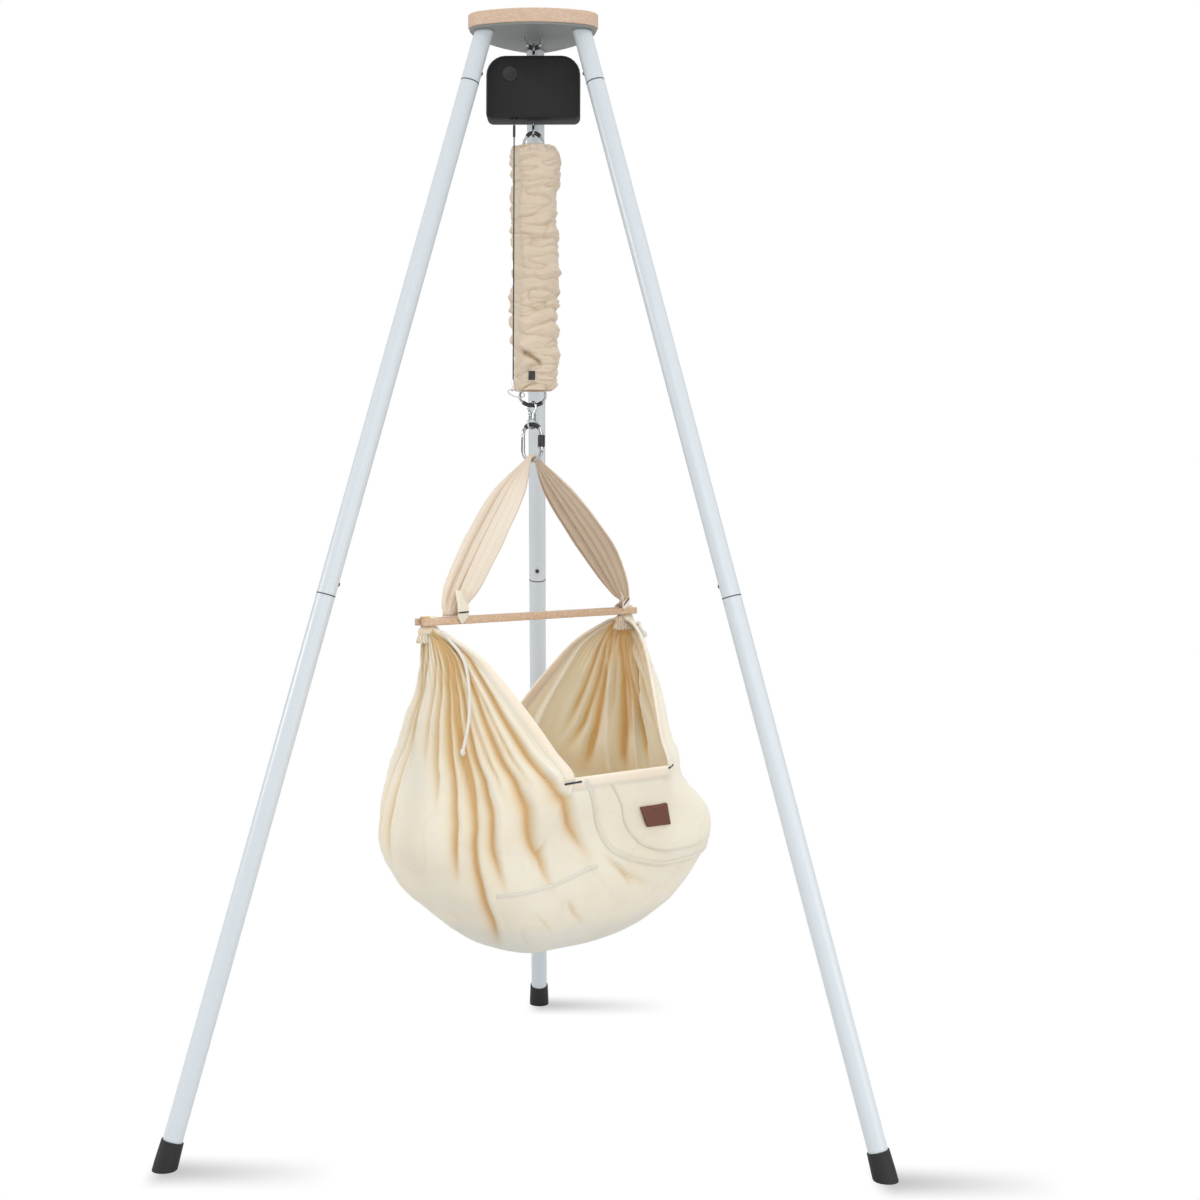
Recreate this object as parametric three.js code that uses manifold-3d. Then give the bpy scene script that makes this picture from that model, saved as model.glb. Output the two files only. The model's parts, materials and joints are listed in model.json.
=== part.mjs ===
// Hanging baby cradle: a three-legged stand carries a rocking motor, a long tension
// spring in a cloth cover, a swivel and carabiner, and a cloth hammock on a wooden bar.
// Millimetres, +Z up. The cradle stands on the floor at z = 0 with two feet in front
// (-Y) and one behind (+Y), and its origin is the middle of its outer box on the floor.
import * as THREE from 'three';
import { mergeVertices } from 'three/addons/utils/BufferGeometryUtils.js';
import Module from 'manifold-3d';

const wasm = await Module();
wasm.setup();

// Driving dimensions of the stand
const STANCE_RADIUS = 722;        // from the stand's axis to the middle of each foot
const HEAD_HEIGHT = 2059;         // underside of the steel head plate above the floor
const HEAD_LEG_RADIUS = 107;      // where the leg axes meet that underside
const LEG_DIAMETER = 35;
const LEG_WALL = 1.5;
const JOINT_CLEARANCE = 0.3;      // between pieces that touch or slide
const LOWER_LEG_LENGTH = 1024;    // visible tube from the foot's seat to the middle joint
const SOCKET_LENGTH = 104.9;      // head socket along the leg, below the head plate
const SPIGOT_LENGTH = 60;         // drawn-in tube end that plugs into the next tube
const FOOT_SEAT_HEIGHT = 15;      // tube end above the floor, along the leg

// Driving dimensions of what hangs
const MOTOR_WIDTH = 180;
const MOTOR_HEIGHT = 122;
const MOTOR_DEPTH = 70;
const HANGER_DROP = 21;           // head plate underside to the middle of the hanger's bow
const SPRING_LENGTH = 450;        // coil body, hooks not counted
const SPRING_RADIUS = 20.5;       // coil centre line
const SPRING_WIRE = 5;
const SPRING_TURNS = 34;
const CARABINER_WIDTH = 44;
const CARABINER_HEIGHT = 77;
const CARABINER_WIRE = 7.5;
const BAR_LENGTH = 560;
const BAR_WIDTH = 31;
const BAR_THICKNESS = 13;
const STRAP_DROP = 299;           // carabiner's lower bow to the middle of the bar
const HAMMOCK_YAW = THREE.MathUtils.degToRad(44.7); // bar direction, from +X
const TUB_LENGTH = 684;           // nominal, along the lying direction
const TUB_WIDTH = 344;
const TUB_DEPTH = 642;            // bar's middle to the bottom of the tub
const CLOTH = 4;                  // hem-thick cloth

const CUT_OVERRUN = 5;            // how far a cutter runs past what it cuts
const LEG_COUNT = 3;
const FULL_TURN = 2 * Math.PI;
const HALF_TURN = Math.PI;
const QUARTER_TURN = Math.PI / 2;

// Finishes
function finish(color, roughness, metalness) {
  return new THREE.MeshStandardMaterial({ color, roughness, metalness });
}
const beech = () => finish(0xcda787, 0.6, 0);
const whiteCoat = () => finish(0xe9edee, 0.4, 0.1);
const headSteel = () => finish(0x8b8d86, 0.5, 0.3);
const chrome = () => finish(0xc9ccd0, 0.18, 1);
const springSteel = () => finish(0x9a9c9e, 0.35, 1);
const blackRubber = () => finish(0x0d0d0d, 0.8, 0);
const blackPlastic = () => finish(0x111113, 0.45, 0);
const motorPlastic = () => finish(0x303032, 0.5, 0);
const boardGreen = () => finish(0x1f5c3a, 0.5, 0);
const creamCloth = () => finish(0xe8dcc3, 0.95, 0);
const whiteCord = () => finish(0xf0ece6, 0.9, 0);
const brownLeather = () => finish(0x6e4130, 0.6, 0);

// Solids for joins and cuts
function signedVolume(geometry) {
  const p = geometry.getAttribute('position');
  const index = geometry.getIndex();
  const a = new THREE.Vector3();
  const b = new THREE.Vector3();
  const c = new THREE.Vector3();
  let sum = 0;
  for (let i = 0; i < index.count; i += 3) {
    a.fromBufferAttribute(p, index.getX(i));
    b.fromBufferAttribute(p, index.getX(i + 1));
    c.fromBufferAttribute(p, index.getX(i + 2));
    sum += a.dot(b.cross(c));
  }
  return sum;
}

// Shared corners are merged, flat slivers dropped and the faces turned outwards
function closed(geometry) {
  const bare = geometry.clone();
  for (const name of ['normal', 'uv']) {
    if (bare.getAttribute(name)) bare.deleteAttribute(name);
  }
  const merged = mergeVertices(bare);
  const index = merged.getIndex();
  const kept = [];
  for (let i = 0; i < index.count; i += 3) {
    const t = [index.getX(i), index.getX(i + 1), index.getX(i + 2)];
    if (t[0] !== t[1] && t[1] !== t[2] && t[2] !== t[0]) kept.push(...t);
  }
  merged.setIndex(kept);
  if (signedVolume(merged) < 0) {
    for (let i = 0; i < kept.length; i += 3) {
      [kept[i], kept[i + 1]] = [kept[i + 1], kept[i]];
    }
    merged.setIndex(kept);
  }
  merged.computeVertexNormals();
  return merged;
}

function solid(geometry) {
  const whole = closed(geometry);
  const vertProperties = new Float32Array(whole.getAttribute('position').array);
  const triVerts = new Uint32Array(whole.getIndex().array);
  return new wasm.Manifold(new wasm.Mesh({ numProp: 3, vertProperties, triVerts }));
}

function geometryOf(manifold) {
  const data = manifold.getMesh();
  const geometry = new THREE.BufferGeometry();
  const positions = new THREE.BufferAttribute(new Float32Array(data.vertProperties), 3);
  geometry.setAttribute('position', positions);
  geometry.setIndex(Array.from(data.triVerts));
  geometry.computeVertexNormals();
  return geometry;
}

function joined(first, ...others) {
  return others.reduce((whole, other) => whole.add(other), first);
}

function cutBy(first, ...others) {
  return others.reduce((whole, other) => whole.subtract(other), first);
}

// Basic forms, all about the Z axis or along it
function circle(radius, sides) {
  const points = [];
  for (let i = 0; i < sides; i += 1) {
    const turn = (FULL_TURN * i) / sides;
    points.push(new THREE.Vector2(radius * Math.cos(turn), radius * Math.sin(turn)));
  }
  return new THREE.Shape(points);
}

function revolve(outline, sides) {
  const points = outline.map(([r, z]) => new THREE.Vector2(r, z));
  const [first, last] = [points[0], points[points.length - 1]];
  if (first.x > 0 || last.x > 0) points.push(first.clone());
  return closed(new THREE.LatheGeometry(points, sides).rotateX(QUARTER_TURN));
}

function rod(radius, low, high, sides) {
  return revolve([[0, low], [radius, low], [radius, high], [0, high]], sides);
}

function prism(shape, low, high, curveSegments) {
  const options = { depth: high - low, bevelEnabled: false, curveSegments };
  return new THREE.ExtrudeGeometry(shape, options).translate(0, 0, low);
}

function block(x0, x1, y0, y1, z0, z1) {
  const box = new THREE.BoxGeometry(x1 - x0, y1 - y0, z1 - z0);
  return box.translate((x0 + x1) / 2, (y0 + y1) / 2, (z0 + z1) / 2);
}

function wire(points, radius, sides, steps) {
  const path = new THREE.CatmullRomCurve3(points, false, 'centripetal');
  const options = { steps, bevelEnabled: false, extrudePath: path };
  return closed(new THREE.ExtrudeGeometry(circle(radius, sides), options));
}

function vec(x, y, z) {
  return new THREE.Vector3(x, y, z);
}

function piece(parent, name, geometry, material) {
  const mesh = new THREE.Mesh(geometry, material);
  mesh.name = name;
  parent.add(mesh);
  return mesh;
}

const cradle = new THREE.Group();

// Stand: three tube legs plug into sockets under a three-cornered head plate
const legs = [
  { name: 'left', turn: THREE.MathUtils.degToRad(210) },
  { name: 'right', turn: THREE.MathUtils.degToRad(330) },
  { name: 'back', turn: THREE.MathUtils.degToRad(90) },
];
const LEG_SIDES = 16;
const LEG_RUN = STANCE_RADIUS - HEAD_LEG_RADIUS;
const LEG_LEAN = Math.atan2(LEG_RUN, HEAD_HEIGHT);
const LEG_AXIS_LENGTH = Math.hypot(LEG_RUN, HEAD_HEIGHT);
const legFrame = new THREE.Matrix4()
  .makeTranslation(STANCE_RADIUS, 0, 0)
  .multiply(new THREE.Matrix4().makeRotationY(-LEG_LEAN));

const tube = {
  outer: LEG_DIAMETER / 2,
  inner: LEG_DIAMETER / 2 - LEG_WALL,
  spigot: LEG_DIAMETER / 2 - LEG_WALL - JOINT_CLEARANCE,
  spigotBore: LEG_DIAMETER / 2 - 2 * LEG_WALL - JOINT_CLEARANCE,
  neck: 6,                        // length over which the tube's bore narrows
};
const middleJoint = FOOT_SEAT_HEIGHT + LOWER_LEG_LENGTH;
const headJoint = LEG_AXIS_LENGTH - SOCKET_LENGTH;  // the upper tube fills what is left

const snap = {
  rise: 24,                       // button above the joint line
  radius: 4,
  proud: 3.5,                     // button beyond the outer tube
  crown: 1.2,
  flangeRadius: 5.5,
  flangeThickness: 3,
  leafWidth: 7,
  leafThickness: 0.8,
  leafDrop: 29,                   // bend of the spring leaf below the button
  leafRise: 3,
};

function buttonHole(height) {
  const outerEnd = tube.outer + CUT_OVERRUN;
  const drill = rod(snap.radius + 2 * JOINT_CLEARANCE, tube.spigotBore / 2, outerEnd, 8);
  return solid(drill.rotateY(-QUARTER_TURN).translate(0, 0, height + snap.rise));
}

// A leg tube: plain at its lower end and drawn in to a spigot above the joint line
function legTube(low, high) {
  const outline = [
    [tube.inner, low], [tube.outer, low], [tube.outer, high],
    [tube.spigot, high], [tube.spigot, high + SPIGOT_LENGTH],
    [tube.spigotBore, high + SPIGOT_LENGTH], [tube.spigotBore, high - tube.neck],
    [tube.inner, high - 2 * tube.neck],
  ];
  return solid(revolve(outline, LEG_SIDES));
}

const foot = {
  height: 50,                     // cap's rim above the floor, along the leg
  rimRadius: 20,
  soleRadius: 21.5,
  belly: 12,
};

// Rubber cap round the tube end, cut level where it stands on the floor
function footCap() {
  const bore = tube.outer + JOINT_CLEARANCE;
  const seat = FOOT_SEAT_HEIGHT - JOINT_CLEARANCE;
  const outline = [
    [0, -foot.belly], [foot.soleRadius, -foot.belly], [foot.soleRadius, foot.belly],
    [foot.rimRadius, foot.height], [bore, foot.height], [bore, seat], [0, seat],
  ];
  const cap = solid(revolve(outline, LEG_SIDES).applyMatrix4(legFrame));
  const reach = 2 * foot.height;
  const below = block(STANCE_RADIUS - reach, STANCE_RADIUS + reach, -reach, reach, -reach, 0);
  return geometryOf(cutBy(cap, solid(below)));
}

function snapButton() {
  const edge = Math.sqrt(tube.spigotBore ** 2 - snap.flangeRadius ** 2) - JOINT_CLEARANCE;
  const tip = tube.outer + snap.proud;
  const outline = [
    [0, edge - snap.flangeThickness], [snap.flangeRadius, edge - snap.flangeThickness],
    [snap.flangeRadius, edge], [snap.radius, edge], [snap.radius, tip - snap.crown],
    [snap.radius / 2, tip - snap.crown / 4], [0, tip],
  ];
  return revolve(outline, 8).rotateY(-QUARTER_TURN);
}

// Bent leaf that presses the button outwards from the far wall of the spigot
function snapLeaf() {
  const edge = Math.sqrt(tube.spigotBore ** 2 - snap.flangeRadius ** 2) - JOINT_CLEARANCE;
  const half = snap.leafThickness / 2;
  const wall = Math.sqrt(tube.spigotBore ** 2 - (snap.leafWidth / 2) ** 2);
  const near = -(edge - snap.flangeThickness - JOINT_CLEARANCE - half);
  const far = wall - JOINT_CLEARANCE - half;
  const bend = (near + far) / 2;
  const leaf = new THREE.Shape([
    new THREE.Vector2(near - half, snap.leafRise),
    new THREE.Vector2(bend, -snap.leafDrop - half),
    new THREE.Vector2(far + half, snap.leafRise),
    new THREE.Vector2(far - half, snap.leafRise),
    new THREE.Vector2(bend, -snap.leafDrop + 2 * snap.leafThickness),
    new THREE.Vector2(near + half, snap.leafRise),
  ]);
  const strip = prism(leaf, -snap.leafWidth / 2, snap.leafWidth / 2, 1);
  return closed(strip.rotateX(QUARTER_TURN));
}

function buildLegs(parent) {
  const lower = cutBy(legTube(FOOT_SEAT_HEIGHT, middleJoint), buttonHole(middleJoint));
  const upperBlank = legTube(middleJoint + JOINT_CLEARANCE, headJoint);
  const upper = cutBy(upperBlank, buttonHole(middleJoint), buttonHole(headJoint));
  const lowerForm = geometryOf(lower);
  const upperForm = geometryOf(upper);
  const capForm = footCap();
  const buttonForm = snapButton();
  const leafForm = snapLeaf();
  for (const leg of legs) {
    const bearing = new THREE.Group();
    bearing.rotation.z = leg.turn;
    parent.add(bearing);
    piece(bearing, `foot_${leg.name}`, capForm, blackRubber());
    const lean = new THREE.Group();
    lean.position.set(STANCE_RADIUS, 0, 0);
    lean.rotation.y = -LEG_LEAN;
    bearing.add(lean);
    piece(lean, `lower_leg_${leg.name}`, lowerForm, whiteCoat());
    piece(lean, `upper_leg_${leg.name}`, upperForm, whiteCoat());
    const joints = [['middle', middleJoint], ['head', headJoint]];
    for (const [place, height] of joints) {
      const button = piece(lean, `snap_button_${place}_${leg.name}`, buttonForm, blackPlastic());
      button.position.z = height + snap.rise;
      const leaf = piece(lean, `snap_leaf_${place}_${leg.name}`, leafForm, springSteel());
      leaf.position.z = height + snap.rise;
    }
  }
}

// Head: steel plate with three leg sockets under a thick beech top
const head = {
  cornerReach: 92,                // axis to the middle of each corner's round
  cornerRadius: 44,
  sideReach: 108,                 // axis to the middle of each bowed side
  steel: 4,
  steelInset: 3,
  wood: 26,
  woodEdge: 1.5,
  screwRadius: 2.5,
  screwHeadRadius: 4.6,
  screwHead: 3,
  screwDepth: 18,                 // shank in the wood
  arcSteps: 4,
};

// Rounded triangle with bowed sides: each side's arc meets the corner arcs smoothly
function headOutline(inset) {
  const flat = head.sideReach - head.cornerRadius;
  const setBack = (head.cornerReach ** 2 - flat ** 2) / (2 * flat - head.cornerReach);
  const sideRadius = head.sideReach + setBack;
  const step = FULL_TURN / LEG_COUNT;
  const at = (radius, turn) => vec(radius * Math.cos(turn), radius * Math.sin(turn), 0);
  const shape = new THREE.Shape();
  for (let i = 0; i < LEG_COUNT; i += 1) {
    const turn = QUARTER_TURN + i * step;
    const corner = at(head.cornerReach, turn);
    const nextCorner = at(head.cornerReach, turn + step);
    const before = at(-setBack, turn - step / 2);
    const after = at(-setBack, turn + step / 2);
    const start = corner.clone().sub(before);
    const end = corner.clone().sub(after);
    const next = nextCorner.clone().sub(after);
    const bend = (v) => Math.atan2(v.y, v.x);
    shape.absarc(corner.x, corner.y, head.cornerRadius - inset, bend(start), bend(end), false);
    shape.absarc(after.x, after.y, sideRadius - inset, bend(end), bend(next), false);
  }
  return shape;
}

const hanger = {
  wireRadius: 3,
  bowRadius: 14.5,
  rise: 12,                       // thread above the steel plate
  nutRadius: 6,
  nutHeight: 5,
  pocketRadius: 8.5,
  pocketHeight: 15,
  sleeveRadius: 4.5,
  sleeveSpread: THREE.MathUtils.degToRad(40),
};
const bowHeight = HEAD_HEIGHT - HANGER_DROP;
const steelTop = HEAD_HEIGHT + head.steel;

function plateDrill(radius, x, y, low, high) {
  return solid(rod(radius, low, high, 8).translate(x, y, 0));
}

function socketTube(leg) {
  const bottom = headJoint + JOINT_CLEARANCE;
  const top = LEG_AXIS_LENGTH + LEG_DIAMETER;
  const outline = [
    [tube.inner, bottom], [tube.outer, bottom], [tube.outer, top], [tube.inner, top],
  ];
  const stub = revolve(outline, LEG_SIDES).applyMatrix4(legFrame);
  const drilled = cutBy(solid(stub), solid(
    geometryOf(buttonHole(headJoint)).applyMatrix4(legFrame)));
  const reach = head.cornerReach + head.cornerRadius + LEG_DIAMETER;
  const middle = HEAD_HEIGHT + head.steel / 2;
  const above = block(-reach, reach, -reach, reach, middle, middle + reach);
  const trimmed = geometryOf(cutBy(drilled, solid(above)));
  return solid(trimmed.rotateZ(leg.turn));
}

function screwPlace(leg) {
  return vec(HEAD_LEG_RADIUS * Math.cos(leg.turn), HEAD_LEG_RADIUS * Math.sin(leg.turn), 0);
}

function buildHead(parent) {
  const sheet = solid(prism(headOutline(head.steelInset), HEAD_HEIGHT, steelTop, head.arcSteps));
  const clear = head.screwRadius + JOINT_CLEARANCE;
  const low = HEAD_HEIGHT - CUT_OVERRUN;
  const drills = legs.map((leg) => {
    const place = screwPlace(leg);
    return plateDrill(clear, place.x, place.y, low, steelTop + CUT_OVERRUN);
  });
  const wireHoles = [-1, 1].map((side) => plateDrill(
    hanger.wireRadius + JOINT_CLEARANCE, side * hanger.bowRadius, 0, low,
    steelTop + CUT_OVERRUN));
  const steel = cutBy(joined(sheet, ...legs.map(socketTube)), ...drills, ...wireHoles);
  piece(parent, 'head_plate', geometryOf(steel), headSteel());

  const options = {
    depth: head.wood - 2 * head.woodEdge, curveSegments: head.arcSteps,
    bevelThickness: head.woodEdge, bevelSize: head.woodEdge,
    bevelOffset: -head.woodEdge, bevelSegments: 2,
  };
  const woodLow = steelTop + JOINT_CLEARANCE;
  const slab = new THREE.ExtrudeGeometry(headOutline(0), options);
  slab.translate(0, 0, woodLow + head.woodEdge);
  const screwHoles = legs.map((leg) => {
    const place = screwPlace(leg);
    return plateDrill(clear, place.x, place.y, low, steelTop + head.screwDepth);
  });
  const pockets = [-1, 1].map((side) => plateDrill(
    hanger.pocketRadius, side * hanger.bowRadius, 0, low, steelTop + hanger.pocketHeight));
  const wood = cutBy(solid(slab), ...screwHoles, ...pockets);
  piece(parent, 'wooden_top_plate', geometryOf(wood), beech());

  const headTop = HEAD_HEIGHT - JOINT_CLEARANCE;
  const tip = steelTop + head.screwDepth - JOINT_CLEARANCE;
  const screw = revolve([
    [0, headTop - head.screwHead], [head.screwHeadRadius, headTop - head.screwHead],
    [head.screwHeadRadius, headTop], [head.screwRadius, headTop],
    [head.screwRadius, tip - head.screwRadius], [0, tip],
  ], 10);
  for (const leg of legs) {
    const placed = piece(parent, `plate_screw_${leg.name}`, screw, springSteel());
    placed.position.copy(screwPlace(leg));
  }
}

// Hanger: a U-bolt, nuts run on, through the head plate and a plastic sleeve on its bow
function bowPoint(turn) {
  const x = hanger.bowRadius * Math.sin(turn);
  return vec(x, 0, bowHeight + hanger.bowRadius * (1 - Math.cos(turn)));
}

function hose(points, outer, inner, sides, steps) {
  const section = circle(outer, sides);
  section.holes.push(new THREE.Path(circle(inner, sides).getPoints().reverse()));
  const path = new THREE.CatmullRomCurve3(points, false, 'centripetal');
  const options = { steps, bevelEnabled: false, extrudePath: path };
  return closed(new THREE.ExtrudeGeometry(section, options));
}

function buildHanger(parent, sleeveParent) {
  const top = steelTop + hanger.rise;
  const arm = (side, height) => vec(side * hanger.bowRadius, 0, height);
  const springing = bowHeight + hanger.bowRadius;
  const points = [arm(-1, top), arm(-1, (top + springing) / 2)];
  const bowSteps = 8;
  for (let i = 0; i <= bowSteps; i += 1) {
    points.push(bowPoint(-QUARTER_TURN + (HALF_TURN * i) / bowSteps));
  }
  points.push(arm(1, (top + springing) / 2), arm(1, top));
  const bolt = solid(wire(points, hanger.wireRadius, 8, 16));
  const nutLow = steelTop + JOINT_CLEARANCE;
  const nuts = [-1, 1].map((side) => solid(prism(circle(hanger.nutRadius, 6), nutLow,
    nutLow + hanger.nutHeight, 1).translate(side * hanger.bowRadius, 0, 0)));
  piece(parent, 'hanger_u_bolt', geometryOf(joined(bolt, ...nuts)), chrome());
  const sleevePoints = [];
  const sleeveSteps = 6;
  for (let i = 0; i <= sleeveSteps; i += 1) {
    sleevePoints.push(bowPoint(hanger.sleeveSpread * ((2 * i) / sleeveSteps - 1)));
  }
  const sleeve = hose(sleevePoints, hanger.sleeveRadius,
    hanger.wireRadius + JOINT_CLEARANCE, 8, 5);
  piece(sleeveParent, 'hanger_sleeve', sleeve, blackPlastic());
}

// Eye: a ring on edge with a short shank, hung over the hanger or under the motor
const eye = {
  ringRadius: 9.5,
  wireRadius: 2.5,
  shankShow: 6,                   // shank between the ring and the motor's shell
  shankRadius: 3,
  nutRadius: 6.5,
  nutHeight: 4,
};
const eyeOuter = eye.ringRadius + eye.wireRadius;
const eyeInner = eye.ringRadius - eye.wireRadius;
const topEyeCentre = bowHeight + hanger.sleeveRadius + JOINT_CLEARANCE - eyeInner;
const motorTop = topEyeCentre - eyeOuter - eye.shankShow;
const motorBottom = motorTop - MOTOR_HEIGHT;
const lowerEyeCentre = motorBottom - eye.shankShow - eyeOuter;

// The eye stands on its shank: ring above, threaded shank with its nut below
function eyeBolt(shankLength) {
  const ring = new THREE.TorusGeometry(eye.ringRadius, eye.wireRadius, 6, 16);
  const shankTop = -eye.ringRadius;
  const shankLow = -eyeOuter - shankLength;
  const shank = rod(eye.shankRadius, shankLow, shankTop, 10);
  const nutTop = shankLow + eye.nutHeight;
  const nut = prism(circle(eye.nutRadius, 6), shankLow, nutTop, 1);
  return geometryOf(joined(solid(ring.rotateY(QUARTER_TURN)), solid(shank), solid(nut)));
}

// Motor: two shells on a steel chassis, with a gear motor that winds the drive cord
const motor = {
  wall: 2.5,
  topCorner: 37,
  bottomCorner: 12,
  edge: 9,                        // round along the front and back rims
  cordY: -28.5,                   // plane in which the drive cord runs
  cordX: -36,
  slotWidth: 14,
  slotDepth: 6,
  buttonX: -45,
  buttonHeight: 86,
  buttonRadius: 15,
  buttonProud: 1.2,
  buttonFlange: 2,
  buttonTravel: 1.5,
};
const motorHalf = MOTOR_DEPTH / 2;
const chassis = {
  thickness: 2.5,
  back: -14.5,                    // rear face of the upright plate
  flangeReach: 9,                 // flanges run this far behind the eyes
  flangeHalf: 28,
  plateHalf: 73,
  plateLow: 11,
  plateHigh: 100,
  bossRadius: 3,
};
const drum = {
  core: 13,
  flange: 17,
  grooveHalf: 2.2,
  flangeThickness: 1.2,
  height: 36,
  shaftRadius: 3,
  shaftRoom: 1,                   // between the shaft's hole and the shaft
};
const cord = { radius: 1.25 };
const drumX = motor.cordX - drum.core - cord.radius - JOINT_CLEARANCE;

function motorOutline(inset) {
  const half = MOTOR_WIDTH / 2 - inset;
  const [low, high] = [inset, MOTOR_HEIGHT - inset];
  const top = motor.topCorner - inset;
  const bottom = motor.bottomCorner - inset;
  const shape = new THREE.Shape();
  shape.absarc(half - bottom, low + bottom, bottom, -QUARTER_TURN, 0, false);
  shape.absarc(half - top, high - top, top, 0, QUARTER_TURN, false);
  shape.absarc(top - half, high - top, top, QUARTER_TURN, HALF_TURN, false);
  shape.absarc(bottom - half, low + bottom, bottom, HALF_TURN, 3 * QUARTER_TURN, false);
  return shape;
}

function motorBody(inset) {
  const edge = motor.edge - inset;
  const options = {
    depth: MOTOR_DEPTH - 2 * inset - 2 * edge, curveSegments: 3,
    bevelThickness: edge, bevelSize: edge, bevelOffset: -edge, bevelSegments: 2,
  };
  const body = new THREE.ExtrudeGeometry(motorOutline(inset), options);
  body.translate(0, 0, edge + inset - motorHalf);
  return solid(body.rotateX(QUARTER_TURN));
}

function alongY(geometry, x, z) {
  return geometry.rotateX(QUARTER_TURN).translate(x, 0, z);
}

// Front and back shells: the hollow body parted at the plane of the eyes
function motorShells() {
  const hollow = cutBy(motorBody(0), motorBody(motor.wall));
  const shank = rod(eye.shankRadius + JOINT_CLEARANCE, -CUT_OVERRUN,
    MOTOR_HEIGHT + CUT_OVERRUN, 10);
  const slot = block(motor.cordX - motor.slotWidth / 2, motor.cordX + motor.slotWidth / 2,
    motor.cordY - motor.slotDepth / 2, motor.cordY + motor.slotDepth / 2,
    -CUT_OVERRUN, motor.wall + CUT_OVERRUN);
  const buttonSeat = alongY(rod(motor.buttonRadius + JOINT_CLEARANCE,
    motorHalf - motor.wall - CUT_OVERRUN, motorHalf + CUT_OVERRUN, 24),
    motor.buttonX, motor.buttonHeight);
  const socketSeat = alongY(rod(inlet.radius + JOINT_CLEARANCE, -motorHalf - CUT_OVERRUN,
    -motorHalf + motor.wall + CUT_OVERRUN, 16), inlet.x, inlet.height);
  const open = cutBy(hollow, solid(shank), solid(slot), solid(buttonSeat), solid(socketSeat));
  const reach = MOTOR_WIDTH;
  const gap = JOINT_CLEARANCE / 2;
  const behind = block(-reach, reach, -gap, reach, -reach, reach);
  const before = block(-reach, reach, -reach, gap, -reach, reach);
  return [cutBy(open, solid(behind)), cutBy(open, solid(before))];
}

const inlet = {
  x: 62,
  height: 18,
  radius: 5.5,
  bore: 1.9,
  boreDepth: 9,
  flange: 8,
  flangeThickness: 2,
  length: 13,
};

// Round push button, held behind the front shell by its flange
function motorButton() {
  const wallInside = motorHalf - motor.wall - JOINT_CLEARANCE;
  const back = wallInside - motor.buttonFlange;
  const face = motorHalf + motor.buttonProud;
  const crown = motor.buttonProud / 2;
  const button = revolve([
    [0, back], [motor.buttonRadius + motor.buttonFlange, back],
    [motor.buttonRadius + motor.buttonFlange, wallInside], [motor.buttonRadius, wallInside],
    [motor.buttonRadius, face - crown], [motor.buttonRadius - crown, face],
    [motor.buttonRadius / 2, face - crown], [0, face - crown],
  ], 20);
  return alongY(button, motor.buttonX, motor.buttonHeight);
}

function motorChassis() {
  const front = chassis.back - chassis.thickness;
  const clearTop = MOTOR_HEIGHT - motor.wall - JOINT_CLEARANCE;
  const clearLow = motor.wall + JOINT_CLEARANCE;
  const half = chassis.flangeHalf;
  const upright = block(-half, half, front, chassis.back, clearLow, clearTop);
  const wide = block(-chassis.plateHalf, chassis.plateHalf, front, chassis.back,
    chassis.plateLow, chassis.plateHigh);
  const top = block(-half, half, front, chassis.flangeReach,
    clearTop - chassis.thickness, clearTop);
  const low = block(-half, half, front, chassis.flangeReach,
    clearLow, clearLow + chassis.thickness);
  const bossLow = -front;
  const bossHigh = -(board.back + JOINT_CLEARANCE);
  const bosses = [];
  for (const x of [board.left + board.margin, board.right - board.margin]) {
    for (const z of [board.low + board.margin, board.high - board.margin]) {
      bosses.push(solid(alongY(rod(chassis.bossRadius, bossLow - chassis.thickness / 2,
        bossHigh, 10), x, z)));
    }
  }
  const shank = rod(eye.shankRadius + JOINT_CLEARANCE, 0, MOTOR_HEIGHT, 10);
  const shaft = alongY(rod(drum.shaftRadius + drum.shaftRoom, -chassis.back - CUT_OVERRUN,
    -front + CUT_OVERRUN, 16), drumX, drum.height);
  const whole = joined(solid(upright), solid(wide), solid(top), solid(low), ...bosses);
  return cutBy(whole, solid(shank), solid(shaft));
}

const board = {
  back: -22,
  thickness: 1.6,
  left: 8,
  right: 70,
  low: 22,
  high: 92,
  margin: 6,
};

// Control board with its taller parts standing towards the front shell
function circuitBoard() {
  const front = board.back - board.thickness;
  const sink = board.thickness / 2;
  const base = block(board.left, board.right, front, board.back, board.low, board.high);
  const middle = (board.left + board.right) / 2;
  const half = board.margin;
  const chipLow = (board.low + board.high) / 2;
  const chip = block(middle - half, middle + half, front - sink, front + sink,
    chipLow, chipLow + 2 * half);
  const relay = block(board.left + board.margin, middle - 1.5 * board.margin,
    front - board.margin, front + sink, board.low + 2 * board.margin,
    board.low + 4 * board.margin);
  const capacitor = alongY(rod(board.margin / 1.5, -front - sink, -front + board.margin, 12),
    board.right - 2 * board.margin, board.low + 2 * board.margin);
  return joined(solid(base), solid(chip), solid(relay), solid(capacitor));
}

const gearing = {
  boxRadius: 19,
  boxLength: 13,
  canRadius: 14,
  canLength: 22,
};

function gearMotor() {
  const mount = -(chassis.back + JOINT_CLEARANCE);
  const shaftTip = -(motor.cordY - drum.grooveHalf - drum.flangeThickness);
  const outline = [
    [0, mount - gearing.boxLength - gearing.canLength],
    [gearing.canRadius, mount - gearing.boxLength - gearing.canLength],
    [gearing.canRadius, mount - gearing.boxLength],
    [gearing.boxRadius, mount - gearing.boxLength], [gearing.boxRadius, mount],
    [drum.shaftRadius, mount], [drum.shaftRadius, shaftTip], [0, shaftTip],
  ];
  return alongY(revolve(outline, 20), drumX, drum.height);
}

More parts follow.
